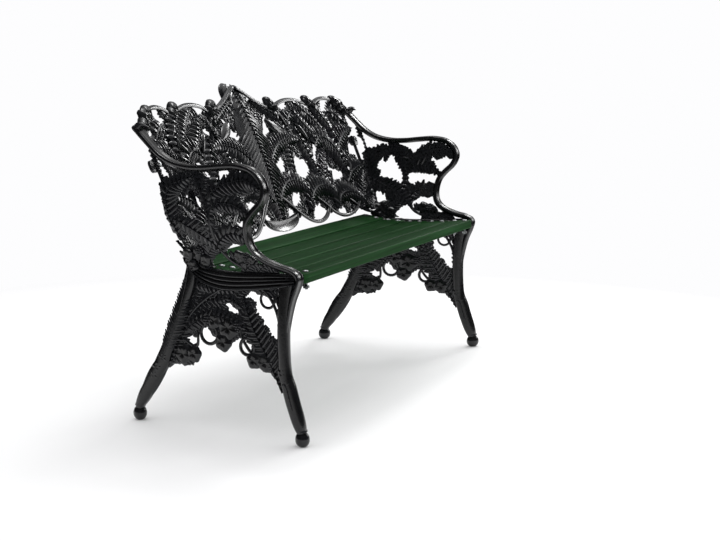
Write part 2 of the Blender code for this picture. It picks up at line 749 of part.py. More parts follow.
BACK_BUDS = (
    ((0.108, 0.785), (0.150, 0.765), (0.215, 0.735)), ((0.125, 0.805), (0.165, 0.800), (0.220, 0.820)),
    ((0.150, 0.852), (0.190, 0.850), (0.225, 0.822)), ((0.385, 0.846), (0.430, 0.856), (0.465, 0.825)),
    ((0.580, 0.838), (0.620, 0.832), (0.650, 0.800)),
)
TOP_TWIGS = (
    ((0.000, 0.898), (0.035, 0.884), (0.080, 0.862), (0.140, 0.838), (0.215, 0.818)),
    ((0.205, 0.815), (0.245, 0.838), (0.310, 0.848), (0.380, 0.842), (0.455, 0.818)),
    ((0.440, 0.812), (0.490, 0.842), (0.550, 0.847), (0.600, 0.835), (0.655, 0.795)),
)
BACK_STEMS = (
    ((0.450, 0.822), (0.490, 0.780), (0.520, 0.720), (0.545, 0.650)),
    ((0.215, 0.825), (0.240, 0.775), (0.270, 0.720)),
    ((0.010, 0.580), (0.080, 0.535), (0.130, 0.500), (0.190, 0.470), (0.250, 0.463), (0.305, 0.480),
     (0.345, 0.520)),
    ((0.260, 0.545), (0.310, 0.515), (0.350, 0.485), (0.400, 0.467), (0.460, 0.468), (0.520, 0.490),
     (0.570, 0.540)),
    ((0.440, 0.540), (0.500, 0.500), (0.550, 0.472), (0.600, 0.462), (0.650, 0.470)),
)
PLAQUE_HALF = 0.115
PLAQUE_TOP = 0.502
PLAQUE_DROP = 0.048
PLAQUE_HOLLOW = 0.010
PLAQUE_EDGE = 0.002
SIDE_STEM_RISES = (0.039, 0.119, 0.199, 0.279, 0.349)  # above the seat
SIDE_STEM_INSET = 0.004


def plaque_outline():
    """A boat-shaped tablet, hollow above and round below."""
    top = []
    bottom = []
    for number in range(13):
        share = number / 6 - 1
        top.append((PLAQUE_HALF * share, PLAQUE_TOP - PLAQUE_HOLLOW * (1 - share**2)))
        bottom.append((-PLAQUE_HALF * share, PLAQUE_TOP - PLAQUE_DROP * (1 - share**2) - PLAQUE_EDGE))
    return fitted_back(top + bottom)


def half_back():
    """The right-hand half of the back as it would lie flat: across is X, up is Y and forwards is Z."""
    base = plate("plaque", [plaque_outline()], BACK_THICKNESS)
    others = []
    for spine, width, leaflets in BACK_FRONDS:
        others.append(frond(fitted_back(spine), width, leaflets, BACK_THICKNESS))
    for line in BACK_BUDS:
        others.append(frond(fitted_back(line), BUD_WIDTH, 2, BACK_THICKNESS))
    for line in BACK_STEMS:
        others.append(band(fitted_back(line), 2 * TWIG, BACK_THICKNESS, 8))
    for line in TOP_TWIGS:
        others.append(rod("twig", smooth(fitted_back(line), 7), TWIG))
    side_stem = []
    for rise in SIDE_STEM_RISES:
        height = SEAT_HEIGHT + rise
        side_stem.append((joint_place(height).x - SIDE_STEM_INSET, height))
    others.append(band(side_stem, SIDE_STEM, BACK_THICKNESS, 7))
    for height in joint_heights():
        place = joint_place(height)
        others.append(lobed_leaf((place.x, place.z), BOSS_RADIUS, 3, BACK_THICKNESS))
    return combine(base, others, "UNION")


def place_back(flat):
    return Vector((flat.x, back_plane(flat.x, flat.y) - flat.z, flat.y))


def beyond_the_ends():
    """What the back must stay clear of on the right: everything outside the end's inner face, and the rim."""
    levels = [SEAT_HEIGHT + rise for rise in (-ELBOW_RISE, 0.0, ELBOW_RISE, END_SPACING / 2)]
    work = bmesh.new()
    bmesh.ops.create_cube(work, size=1.0)
    for level in (0.25, 0.75):
        geometry = [*work.verts, *work.edges, *work.faces]
        bmesh.ops.bisect_plane(work, geom=geometry, plane_co=(0, 0, level - 0.5), plane_no=(0, 0, 1))
    heights = sorted({round(corner.co.z, 4) for corner in work.verts})
    for corner in work.verts:
        level = levels[heights.index(round(corner.co.z, 4))]
        y = corner.co.y
        inner = end_plane(y, level) - PANEL / 2 - GAP * 3
        corner.co = Vector((inner if corner.co.x < 0 else END_SPACING, y, level))
    mesh = bpy.data.meshes.new("outside")
    work.to_mesh(mesh)
    work.free()
    outside = add_mesh("outside", mesh, workshop)
    rim = rod("rim", rim_line(), RIM / 2 + GAP * 4, RIM_WIDTH + GAP * 8)
    elbow = SEAT_HEIGHT + ELBOW_RISE
    bend(rim, [((0, level, 0), (0, 1, 0)) for level in (SEAT_HEIGHT, elbow)], place_right_end)
    return [outside, rim]


def make_back():
    half = half_back()
    bends = [((station, 0, 0), (1, 0, 0)) for station in back_stations()[1:-1]]
    bend(half, bends, place_back)
    combine(half, beyond_the_ends(), "DIFFERENCE")
    combine(half, joint_holes(), "DIFFERENCE")
    mirror = half.modifiers.new("other half", "MIRROR")
    mirror.use_bisect_axis[0] = True
    mirror.bisect_threshold = 0.00001
    mirror.merge_threshold = 0.0001
    mesh = evaluated_mesh(half)
    bpy.data.objects.remove(half)
    tidy_mesh(mesh, 2e-6)
    finish_object("back_casting", mesh, IRON)


def centre_on_floor():
    """Moves the bench so that the middle of its overall length and depth is at the origin."""
    bpy.context.view_layer.update()
    depths = []
    for thing in bench.objects:
        if thing.type == "MESH":
            depths += [(thing.matrix_world @ corner.co).y for corner in thing.data.vertices]
    standing_frame.location.y = -(min(depths) + max(depths)) / 2


clear_scene()
bench = new_collection("garden_bench")
workshop = new_collection("workshop")
standing_frame = bpy.data.objects.new("standing_frame", None)
bench.objects.link(standing_frame)
make_ends()
make_back()
make_boards()
make_board_bolts()
make_joint_bolts()
centre_on_floor()
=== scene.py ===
# %% [markdown]
# # A fern-pattern garden bench
#
# The bench is three iron castings, five painted boards and the bolts that hold them. The sizes come from a
# fixed model of the bench, the frame. Each cell makes one piece or one finish round it.

# %% Load the frame
import json
import math

import bmesh
import bpy
import numpy as np
from mathutils import Matrix, Vector


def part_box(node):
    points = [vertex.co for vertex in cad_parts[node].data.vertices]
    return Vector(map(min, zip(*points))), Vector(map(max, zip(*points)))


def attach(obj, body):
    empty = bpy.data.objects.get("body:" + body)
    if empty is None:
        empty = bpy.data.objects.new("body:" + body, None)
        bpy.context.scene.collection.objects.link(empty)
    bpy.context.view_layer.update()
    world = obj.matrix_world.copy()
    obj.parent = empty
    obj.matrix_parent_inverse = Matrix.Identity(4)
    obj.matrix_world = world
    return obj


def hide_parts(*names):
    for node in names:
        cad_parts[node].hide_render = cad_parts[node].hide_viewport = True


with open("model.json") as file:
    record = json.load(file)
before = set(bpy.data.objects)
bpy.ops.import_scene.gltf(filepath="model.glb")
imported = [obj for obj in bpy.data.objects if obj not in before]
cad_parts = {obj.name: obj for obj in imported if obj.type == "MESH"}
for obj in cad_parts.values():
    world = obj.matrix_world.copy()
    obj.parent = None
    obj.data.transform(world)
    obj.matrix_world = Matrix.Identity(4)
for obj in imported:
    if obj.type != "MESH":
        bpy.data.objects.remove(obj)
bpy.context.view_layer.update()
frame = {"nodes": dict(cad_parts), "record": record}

scene = bpy.context.scene

# %% [markdown]
# ## Where things are
#
# The two ends are not parallel: each turns outwards towards the front, and its arm leans outwards above the
# seat. The feet in the frame's record say where an end stands. From two feet we get the turn, and from that
# the place of any point of the end, given its depth and height. The castings are then drawn flat, as a
# pattern maker would draw them, and bent into place at the very end.

# %% The planes that the castings follow
feet = {mount["name"]: Vector(mount["pos_m"]) for mount in frame["record"]["mounts"]}
front_foot = feet["right_front_foot"]
rear_foot = feet["right_rear_foot"]
SPLAY = (front_foot.x - rear_foot.x) / (rear_foot.y - front_foot.y)
DRAWN_FOOT = -0.262  # where the front foot is on the flat drawing
SHIFT = front_foot.y - DRAWN_FOOT
SEAT_LEVEL = 0.441
ELBOW = SEAT_LEVEL + 0.120
ELBOW_FLARE = 0.046
UPPER_FLARE = 0.080
BACK_RAKE = 0.41
BACK_TUB = 0.110
BACK_THICKNESS = 0.011
back_low, back_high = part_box("back_casting")
CREST_Y = back_high.y - BACK_THICKNESS / 2


def lean(height):
    """How far the arm leans outwards at this height."""
    lower = ELBOW_FLARE * min(max(height - SEAT_LEVEL, 0.0) / (ELBOW - SEAT_LEVEL), 1.0)
    return lower + UPPER_FLARE * max(height - ELBOW, 0.0)


def soft_lean(height):
    """The same lean with its corners eased over 30 mm."""
    return sum(lean(height + step) for step in (-0.015, -0.005, 0.005, 0.015)) / 4


def place_right_end(flat):
    """From the flat drawing (depth, height, outwards) to the right-hand end."""
    y = flat.x + SHIFT
    x = front_foot.x - SPLAY * (y - front_foot.y) + soft_lean(flat.y)
    return Vector((x + flat.z, y, flat.y))


def place_left_end(flat):
    """The left-hand end is the right-hand one in a mirror."""
    right = place_right_end(flat)
    return Vector((-right.x, right.y, right.z))


def place_back(flat):
    """From the flat drawing (across, height, forwards) to the curved, raked back."""
    y = CREST_Y - BACK_RAKE * (back_high.z - flat.y) - BACK_TUB * flat.x**2
    return Vector((flat.x, y - flat.z, flat.y))


print("each end turns out by", round(math.degrees(math.atan(SPLAY)), 2), "degrees")

# %% [markdown]
# ## The camera
#
# A long lens some way off keeps the legs upright and the seat's lines nearly parallel. The camera stands to
# the left of the bench and looks along it, a little from above.

# %% Camera
CAMERA_PLACE = Vector((-3.736, -1.718 + SHIFT, 0.960))
CAMERA_TURN = math.radians(66.98)
CAMERA_DROP = math.radians(8.53)
LENS_MM = 68.64

camera_data = bpy.data.cameras.new("camera")
camera_data.lens = LENS_MM
camera_data.sensor_width = 36.0
camera = bpy.data.objects.new("camera", camera_data)
scene.collection.objects.link(camera)
camera.location = CAMERA_PLACE
camera.rotation_euler = (math.pi / 2 - CAMERA_DROP, 0.0, -CAMERA_TURN)
scene.camera = camera
print("camera is", round((CAMERA_PLACE - Vector((0, 0, 0.45))).length, 2), "m from the seat")

# %% [markdown]
# ## Units, colours and nodes
#
# Drawings and pattern scales are in millimetres, and Blender works in metres. Colours are written as a
# painter would pick them on a screen, as sRGB hex values, and turned to linear light by one function.
# Another small function adds a shader node, sets its values and links its inputs.

# %% Helpers for drawings and materials
MM = 0.001


def metres(drawn):
    """Millimetres from a drawing as metres, however they are grouped."""
    if isinstance(drawn, (int, float)):
        return drawn / 1000
    return tuple(metres(part) for part in drawn)


def linear(hex_colour):
    """An sRGB hex colour as linear red, green, blue and alpha."""
    values = [int(hex_colour[index : index + 2], 16) / 255 for index in (1, 3, 5)]
    return (*(v / 12.92 if v <= 0.04045 else ((v + 0.055) / 1.055) ** 2.4 for v in values), 1.0)


def add_node(tree, kind, settings=None, links=None):
    """A new node. A setting is a property or an input's value; a link is an input and the socket it takes."""
    node = tree.nodes.new(kind)
    for name, value in (settings or {}).items():
        if hasattr(node, name):
            setattr(node, name, value)
        else:
            node.inputs[name].default_value = value
    for name, socket in (links or {}).items():
        tree.links.new(socket, node.inputs[name])
    return node


def new_material(name):
    made = bpy.data.materials.new(name)
    made.use_nodes = True
    shader = made.node_tree.nodes["Principled BSDF"]
    return made, made.node_tree, shader


def ramp(tree, factor, stops):
    """A colour ramp from (place, hex colour) stops."""
    node = add_node(tree, "ShaderNodeValToRGB", links={"Fac": factor})
    elements = node.color_ramp.elements
    while len(elements) < len(stops):
        elements.new(0.5)
    for element, (place, colour) in zip(elements, stops):
        element.position = place
        element.color = linear(colour)
    return node.outputs["Color"]


# %% [markdown]
# ## Gloss-enamelled cast iron
#
# The castings come out of sand moulds, so their skin has a grain of one or two millimetres, softened by
# thick black paint that flows like orange peel. Black gloss paint is a dielectric: metallic 0, IOR 1.5.
# What the eye sees is mostly reflection, so the roughness matters more than the colour. It wanders between
# satin and gloss.

# %% Cast iron finish
SAND_GRAIN_MM = 1.6
ORANGE_PEEL_MM = 7.0
DUST_PATCH_MM = 60.0


def make_enamelled_iron():
    material, tree, shader = new_material("gloss_enamelled_cast_iron")
    where = add_node(tree, "ShaderNodeTexCoord").outputs["Object"]
    patches = add_node(
        tree, "ShaderNodeTexNoise", {"Scale": 1 / (DUST_PATCH_MM * MM), "Detail": 4.0}, {"Vector": where}
    )
    grain = add_node(
        tree, "ShaderNodeTexNoise", {"Scale": 1 / (SAND_GRAIN_MM * MM), "Detail": 2.0}, {"Vector": where}
    )
    peel = add_node(
        tree, "ShaderNodeTexNoise", {"Scale": 1 / (ORANGE_PEEL_MM * MM), "Detail": 2.0}, {"Vector": where}
    )
    # Convex edges and ridges, found from pointiness, are painted a lighter grey: partly paint rubbed thin on
    # the edges, partly a painted highlight that makes the ridges stand out from the dark gaps.
    edges = add_node(tree, "ShaderNodeNewGeometry").outputs["Pointiness"]
    edge_wear_and_highlight = add_node(
        tree,
        "ShaderNodeMapRange",
        {"From Min": 0.51, "From Max": 0.58, "To Min": 0.0, "To Max": 1.0},
        {"Value": edges},
    )
    body = ramp(tree, patches.outputs["Fac"], ((0.30, "#050506"), (0.70, "#0b0b0d")))
    # The lighter grey mixed in here is both the rubbed paint and the painted highlight on the ridges.
    colour = add_node(
        tree,
        "ShaderNodeMix",
        {"data_type": "RGBA", "B": linear("#1b1c1f")},
        {"Factor": edge_wear_and_highlight.outputs["Result"], "A": body},
    )
    tree.links.new(colour.outputs["Result"], shader.inputs["Base Color"])
    gloss = add_node(
        tree,
        "ShaderNodeMapRange",
        {"From Min": 0.3, "From Max": 0.7, "To Min": 0.18, "To Max": 0.30},
        {"Value": patches.outputs["Fac"]},
    )
    tree.links.new(gloss.outputs["Result"], shader.inputs["Roughness"])
    coarse = add_node(
        tree, "ShaderNodeBump", {"Strength": 0.25, "Distance": 0.6 * MM}, {"Height": peel.outputs["Fac"]}
    )
    fine = add_node(
        tree,
        "ShaderNodeBump",
        {"Strength": 0.18, "Distance": 0.25 * MM},
        {"Height": grain.outputs["Fac"], "Normal": coarse.outputs["Normal"]},
    )
    tree.links.new(fine.outputs["Normal"], shader.inputs["Normal"])
    shader.inputs["IOR"].default_value = 1.5
    return material


iron = make_enamelled_iron()
print("made", iron.name)

# %% [markdown]
# ## Oil-painted softwood
#
# The boards are planed softwood under a dark green oil paint. The paint is thin enough for the grain to
# show as fine ridges along the board, about 3 mm apart, and the brush leaves wider streaks that are a
# little paler or darker. The paint has lost most of its shine outdoors, so its specular level is low.

# %% Painted board finish
GRAIN_SPACING_MM = 3.0
GRAIN_RUN_MM = 260.0
BRUSH_STREAK_MM = 9.0
BRUSH_RUN_MM = 500.0


def make_painted_softwood():
    material, tree, shader = new_material("oil_painted_softwood")
    where = add_node(tree, "ShaderNodeTexCoord").outputs["Object"]
    lengthwise = add_node(
        tree,
        "ShaderNodeMapping",
        {"Scale": (1 / (GRAIN_RUN_MM * MM), 1 / (GRAIN_SPACING_MM * MM), 1 / (GRAIN_SPACING_MM * MM))},
        {"Vector": where},
    )
    grain = add_node(
        tree,
        "ShaderNodeTexNoise",
        {"Scale": 1.0, "Detail": 4.0, "Roughness": 0.6, "Distortion": 0.4},
        {"Vector": lengthwise.outputs["Vector"]},
    )
    streaks = add_node(
        tree,
        "ShaderNodeMapping",
        {"Scale": (1 / (BRUSH_RUN_MM * MM), 1 / (BRUSH_STREAK_MM * MM), 1 / (BRUSH_STREAK_MM * MM))},
        {"Vector": where},
    )
    brushed = add_node(
        tree, "ShaderNodeTexNoise", {"Scale": 1.0, "Detail": 3.0}, {"Vector": streaks.outputs["Vector"]}
    )
    body = ramp(tree, brushed.outputs["Fac"], ((0.30, "#113414"), (0.52, "#183f1b"), (0.72, "#224d26")))
    shade = ramp(tree, grain.outputs["Fac"], ((0.30, "#9aa39b"), (0.60, "#ffffff")))
    colour = add_node(
        tree,
        "ShaderNodeMix",
        {"data_type": "RGBA", "blend_type": "MULTIPLY", "Factor": 0.55},
        {"A": body, "B": shade},
    )
    tree.links.new(colour.outputs["Result"], shader.inputs["Base Color"])
    gloss = add_node(
        tree,
        "ShaderNodeMapRange",
        {"From Min": 0.3, "From Max": 0.7, "To Min": 0.50, "To Max": 0.66},
        {"Value": grain.outputs["Fac"]},
    )
    tree.links.new(gloss.outputs["Result"], shader.inputs["Roughness"])
    ridges = add_node(
        tree, "ShaderNodeBump", {"Strength": 0.5, "Distance": 0.7 * MM}, {"Height": grain.outputs["Fac"]}
    )
    tree.links.new(ridges.outputs["Normal"], shader.inputs["Normal"])
    shader.inputs["IOR"].default_value = 1.48
    shader.inputs["Specular IOR Level"].default_value = 0.05
    return material


painted_wood = make_painted_softwood()
print("made", painted_wood.name)

# %% [markdown]
# ## Zinc-plated steel
#
# Bolts and nuts are zinc plated in a barrel, which leaves a pale, slightly mottled grey. A metal's colour
# is in its reflection, so metallic is 1 and the IOR stays at its default.

# %% Plated steel finish
SPANGLE_MM = 2.5


def make_plated_steel():
    material, tree, shader = new_material("zinc_plated_steel")
    where = add_node(tree, "ShaderNodeTexCoord").outputs["Object"]
    mottle = add_node(
        tree, "ShaderNodeTexNoise", {"Scale": 1 / (SPANGLE_MM * MM), "Detail": 3.0}, {"Vector": where}
    )
    colour = ramp(tree, mottle.outputs["Fac"], ((0.3, "#9c9fa1"), (0.7, "#c9cbcc")))
    tree.links.new(colour, shader.inputs["Base Color"])
    gloss = add_node(
        tree,
        "ShaderNodeMapRange",
        {"From Min": 0.3, "From Max": 0.7, "To Min": 0.28, "To Max": 0.48},
        {"Value": mottle.outputs["Fac"]},
    )
    tree.links.new(gloss.outputs["Result"], shader.inputs["Roughness"])
    bump = add_node(
        tree, "ShaderNodeBump", {"Strength": 0.2, "Distance": 0.1 * MM}, {"Height": mottle.outputs["Fac"]}
    )
    tree.links.new(bump.outputs["Normal"], shader.inputs["Normal"])
    shader.inputs["Metallic"].default_value = 1.0
    return material


steel = make_plated_steel()
print("made", steel.name)

# %% [markdown]
# ## A pattern maker's tools
#
# Every shape on the castings is a stack of rings skinned into one closed form: a stem, a leaflet, a leg, a
# berry. Building them from rings keeps each form closed and its faces even. A mould collects the forms of
# one casting while they are still flat, and casts them all at once into their place on the bench.

# %% Mould and lines
def inside(loop, point):
    """Whether a point is inside a closed outline: a ray from it crosses that an odd number of times."""
    within = False
    for (x1, y1), (x2, y2) in zip(loop, (*loop[1:], loop[0])):
        if (y1 > point.y) != (y2 > point.y) and point.x < (x2 - x1) * (point.y - y1) / (y2 - y1) + x1:
            within = not within
    return within


def box_of(loop):
    xs, ys = zip(*loop)
    return (min(xs), min(ys)), (max(xs), max(ys))


class Mould:
    """Closed forms on a flat drawing. Ferns on it keep inside its outline and out of its openings."""

    def __init__(self, outline=None, openings=()):
        self.points = []
        self.faces = []
        self.outline = outline
        self.openings = [(loop, box_of(loop)) for loop in openings]

    def is_iron(self, point):
        """Whether this place of the drawing is inside the outline and in none of the openings."""
        if self.outline and not inside(self.outline, point):
            return False
        for loop, (low, high) in self.openings:
            if low[0] < point.x < high[0] and low[1] < point.y < high[1] and inside(loop, point):
                return False
        return True

    def skin(self, rings):
        """One closed form through a stack of rings."""
        size = len(rings[0])
        first = len(self.points)
        for ring in rings:
            self.points.extend(ring)
        for level in range(len(rings) - 1):
            start = first + level * size
            for number in range(size):
                near = start + number
                far = start + (number + 1) % size
                self.faces.append((near, far, far + size, near + size))
        self.faces.append(tuple(range(first + size - 1, first - 1, -1)))
        last = first + (len(rings) - 1) * size
        self.faces.append(tuple(range(last, last + size)))

    def mirror(self):
        """Copies everything drawn so far to the other side of the drawing's upright axis."""
        count = len(self.points)
        self.points += [Vector((-point.x, point.y, point.z)) for point in self.points]
        self.faces += [tuple(count + corner for corner in reversed(face)) for face in self.faces]
        for loop, _ in list(self.openings):
            other = [(-x, y) for x, y in loop]
            self.openings.append((other, box_of(other)))
        self.outline = None

    def cast(self, name, place, material, node=None, crease=50):
        """The finished piece, riding on the bench's one body."""
        mesh = bpy.data.meshes.new(name)
        mesh.from_pydata([place(Vector(point)) for point in self.points], [], self.faces)
        work = bmesh.new()
        work.from_mesh(mesh)
        bmesh.ops.recalc_face_normals(work, faces=work.faces)
        work.to_mesh(mesh)
        work.free()
        mesh.shade_smooth()
        mesh.set_sharp_from_angle(angle=math.radians(crease))
        mesh.materials.append(material)
        piece = bpy.data.objects.new(name, mesh)
        scene.collection.objects.link(piece)
        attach(piece, "root")
        if node:
            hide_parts(node)
        print(name, len(self.faces), "faces")


def smooth(points, count):
    """This many points, evenly apart, on a smooth line through the given ones."""
    points = [Vector(point) for point in points]
    ends = [2 * points[0] - points[1], *points, 2 * points[-1] - points[-2]]
    fine = []
    steps = 12
    for index in range(len(points) - 1):
        a, b, c, d = ends[index : index + 4]
        for step in range(steps):
            t = step / steps
            square = (2 * a - 5 * b + 4 * c - d) * t**2
            cube = (3 * b - a - 3 * c + d) * t**3
            fine.append(0.5 * (2 * b + (c - a) * t + square + cube))
    fine.append(points[-1])
    run = [0.0]
    for before, after in zip(fine, fine[1:]):
        run.append(run[-1] + (after - before).length)
    wanted = np.linspace(0.0, run[-1], count)
    sides = [np.interp(wanted, run, [point[axis] for point in fine]) for axis in range(len(points[0]))]
    return [Vector(values) for values in zip(*sides)]


def length_of(points):
    return sum((after - before).length for before, after in zip(points, points[1:]))


def blended(values, count):
    """This many values read evenly along a short list."""
    return list(np.interp(np.linspace(0, len(values) - 1, count), range(len(values)), values))


def round_section(sides):
    angles = [2 * math.pi * step / sides for step in range(sides)]
    return [(math.cos(angle), math.sin(angle)) for angle in angles]


BUD_SECTION = round_section(10)
ROD = round_section(8)
STEM_STEP = 8 * MM


def sweep(mould, line, widths, depths, lifts, section):
    """A section run along a line; widths are across it in the drawing, depths and lifts are out of it."""
    rings = []
    for number, point in enumerate(line):
        before = line[max(number - 1, 0)]
        after = line[min(number + 1, len(line) - 1)]
        along = (after - before).normalized()
        across = Vector((-along.y, along.x, 0.0))
        ring = []
        for u, v in section:
            side = across * (u * widths[number])
            ring.append(Vector((point.x + side.x, point.y + side.y, lifts[number] + v * depths[number])))
        rings.append(ring)
    mould.skin(rings)


def stem(mould, points, radius, tip, lift=0.0):
    """A round stem that tapers to this share of its radius, with rounded ends."""
    count = max(8, int(length_of([Vector(point) for point in points]) / STEM_STEP))
    line = smooth(points, count)
    radii = blended((radius, radius * (1 + tip) / 2, radius * tip), count)
    radii[0] *= 0.55
    radii[-1] *= 0.45
    sweep(mould, line, radii, radii, [lift] * count, ROD)


# %% [markdown]
# ## Fern fronds
#
# A frond is a midrib with a row of narrow leaflets on each side. In the casting each leaflet is a small
# ridge with a crest down its middle, blunt at its tip and leaning towards the frond's own tip. On the
# inside of a bend the leaflets shorten so that they don't run into each other, and each one stops where the
# panel has an opening, which gives the openings their ragged edges. A thin web behind the leaflets is what
# the iron flows through in the mould. The leaflets stand further apart than a real fern's, so that each one
# still shows from across a garden. Small leaflets have fewer faces, which nobody sees at their size.

# %% Frond maker
LEAFLET_PITCH = 14.0 * MM
FINE_PITCH = 11.0 * MM
RELIEF = 0.44  # how deep a leaflet is on each face, as a share of the pitch
LEAFLET_SECTION = (
    (-1.0, 0.0), (-0.68, 0.48), (-0.26, 0.94), (0.26, 0.94), (0.68, 0.48),
    (1.0, 0.0), (0.68, -0.48), (0.26, -0.94), (-0.26, -0.94), (-0.68, -0.48),
)
LEAFLET_FORM = (  # (half width, depth) from the midrib to the tip
    (0.86, 0.80), (0.96, 1.00), (1.00, 1.00), (0.98, 0.92), (0.88, 0.78), (0.42, 0.40),
)
SMALL_LEAFLET = 27 * MM  # a leaflet shorter than this gets the plainer section and form
SMALL_SECTION = ((-1.0, 0.0), (-0.46, 0.88), (0.46, 0.88), (1.0, 0.0), (0.46, -0.88), (-0.46, -0.88))
SMALL_FORM = ((0.86, 0.80), (1.00, 1.00), (0.92, 0.84), (0.42, 0.40))
WEB_SHARE = 0.76  # how much of a leaflet's length the web behind it fills
WEB_SECTION = ((-1, 0), (-0.6, 1), (0, 1), (0.6, 1), (1, 0), (0.6, -1), (0, -1), (-0.6, -1))
TRIM_STEP = 2.0 * MM
RAGGED = (1.0, 0.93, 0.98, 0.88, 0.96)  # no two neighbouring leaflets are quite the same length
SHORTEST = 4.0 * MM
CLOSEST_BEND = 0.85  # how near to the middle of a bend a leaflet may reach, as a share of the way
BEAD = 1.25
BETWEEN_BEADS = 0.80
RIB_TAPER = 0.4
UNDERGROWTH_RIB = 1.4 * MM
UNDERGROWTH_STEP = 5 * MM
UNDERGROWTH_SHORTEST = 22 * MM


def arched(share, arch):
    """How far back a frond's surface has curved at this share of its half width."""
    return -arch * share * share


def leaflet_point(root, along, across, reach, lean, share):
    """A point on a leaflet's crest: it curves towards the frond's tip."""
    return root + across * (reach * share) + along * (reach * lean * (0.75 * share + 0.25 * share**2))


def trimmed(mould, root, along, across, reach, lean):
    """The reach at which the leaflet's tip is still iron."""
    length = SHORTEST
    while length < reach and mould.is_iron(leaflet_point(root, along, across, length, lean, 1.0)):
        length += TRIM_STEP
    return min(length, reach)


def leaflet(mould, root, along, across, reach, pitch, depth, lift, arch, lean):
    small = reach < SMALL_LEAFLET
    form = SMALL_FORM if small else LEAFLET_FORM
    last = len(form) - 1
    line = []
    lifts = []
    for step in range(last + 1):
        share = step / last
        line.append(leaflet_point(root, along, across, reach, lean, share))
        lifts.append(lift + arched(share, arch))
    half = pitch * 0.50 / math.sqrt(1 + lean * lean)
    widths = [half * width for width, _ in form]
    depths = [depth * thick for _, thick in form]
    sweep(mould, line, widths, depths, lifts, SMALL_SECTION if small else LEAFLET_SECTION)


def web(mould, line, sides, lifts, arch, half):
    """The thin sheet of iron behind the leaflets; it is arched as they are."""
    rings = []
    for number, point in enumerate(line):
        before = line[max(number - 1, 0)]
        after = line[min(number + 1, len(line) - 1)]
        along = (after - before).normalized()
        across = Vector((-along.y, along.x))
        ring = []
        for share, thick in WEB_SECTION:
            reach = sides[1 if share > 0 else 0][number] * WEB_SHARE
            place = point + across * reach * share
            lift = lifts[number] + arched(share * WEB_SHARE, arch) + thick * half
            ring.append(Vector((place.x, place.y, lift)))
        rings.append(ring)
    mould.skin(rings)


def usual_reach(share):
    """How wide a frond is, as a share of its greatest half width, from its root to its tip."""
    return math.sin(math.pi * max(share, 0.03) ** 0.65) ** 0.62


def frond(
    mould,
    spine,
    width,
    lift,
    pitch=LEAFLET_PITCH,
    lean=0.50,
    rib=2.8 * MM,
    arch=3.0 * MM,
    shape=usual_reach,
    relief=RELIEF,
):
    """A whole frond: web, leaflets and beaded midrib. The lift may change from the root to the tip."""
    depth = pitch * relief
    total = length_of(smooth(spine, 40))
    count = max(4, int(round(total / pitch)))
    line = smooth(spine, count + 1)
    shares = [number / count for number in range(count + 1)]
    lifts = blended(lift, count + 1) if isinstance(lift, tuple) else [lift] * (count + 1)
    sides = ([0.0], [0.0])
    for number in range(1, count):
        before = line[number] - line[number - 1]
        after = line[number + 1] - line[number]
        along = (before + after).normalized()
        bend_here = 2 * before.cross(after) / (before.length * after.length * (before + after).length)
        for side, sign in zip(sides, (-1, 1)):
            across = Vector((-along.y, along.x)) * sign
            reach = min(width / 2 * shape(shares[number]), CLOSEST_BEND / max(bend_here * sign, 1e-6))
            reach = trimmed(mould, line[number], along, across, reach, lean) * RAGGED[number % len(RAGGED)]
            side.append(reach)
            if reach > rib:
                leaflet(mould, line[number], along, across, reach, pitch, depth, lifts[number], arch, lean)
    for side in sides:
        side[0] = side[1] * 0.6
        side.append(side[-1] * 0.4)
    web(mould, line, sides, lifts, arch, depth * 0.25)
    steps = (8 if pitch > FINE_PITCH else 2) * count + 1
    beads = [BEAD if number % 4 == 1 else BETWEEN_BEADS for number in range(steps)]
    radii = [rib * (1.0 - RIB_TAPER * number / steps) * beads[number] for number in range(steps)]
    depths = [radius + depth * 0.8 for radius in radii]
    sweep(mould, smooth(spine, steps), radii, depths, blended(lifts, steps), ROD)


def undergrowth(mould, lines, width, lift, arch, relief=0.26):
    """Fronds that fill a panel behind the main ones. One that meets an opening stops and starts again."""
    for line in lines:
        run = []
        for point in [*smooth(line, int(length_of(smooth(line, 20)) / UNDERGROWTH_STEP)), None]:
            if point is not None and mould.is_iron(point):
                run.append(point)
                continue
            if len(run) > 3 and length_of(run) > UNDERGROWTH_SHORTEST:
                spine = run[:: len(run) // 3]
                frond(mould, spine, width, lift, FINE_PITCH, arch=arch, rib=UNDERGROWTH_RIB, relief=relief)
            run = []


# %% [markdown]
# ## Bramble leaves, berries and buds
#
# Between the ferns are lobed leaves with raised veins, clusters of round berries, and smooth pointed buds.
# A leaf is a low dome whose edge draws in between its lobes.

# %% Leaf, berry and bud makers
LEAF_LEVELS = (  # (share of the radius, share of the depth) from the back of a leaf to its front
    (0.12, -0.55), (0.60, -0.75), (0.94, -0.45), (1.0, 0.0),
    (0.90, 0.50), (0.62, 0.85), (0.34, 0.95), (0.10, 0.62),
)
LOBE_DEPTH = 0.13
VEIN_RISE = 0.18
BALL_LEVELS = (-0.92, -0.6, -0.1, 0.4, 0.8, 0.97)
TURNED_SIDES = 20


def lobed_leaf(mould, centre, radius, lobes, turn, lift, depth):
    """A domed leaf with lobes; its veins run out to the tips of the lobes."""
    steps = lobes * 8
    rings = []
    for share, height in LEAF_LEVELS:
        ring = []
        for step in range(steps):
            angle = 2 * math.pi * step / steps
            vein = math.cos(lobes * angle)
            reach = radius * share * (1 - LOBE_DEPTH * share * (0.5 - 0.5 * vein) ** 0.8)
            rise = height * (1 + VEIN_RISE * max(vein, 0.0) ** 3 * (share > 0.2) * (height > 0))
            x = centre[0] + reach * math.cos(angle + turn)
            y = centre[1] + reach * math.sin(angle + turn)
            ring.append(Vector((x, y, lift + depth * rise)))
        rings.append(ring)
    mould.skin(rings)


def ball(mould, x, y, height, radius):
    rings = []
    for level in BALL_LEVELS:
        reach = radius * math.sqrt(1 - level * level)
        rings.append([Vector((x + reach * u, y + reach * v, height + radius * level)) for u, v in ROD])
    mould.skin(rings)


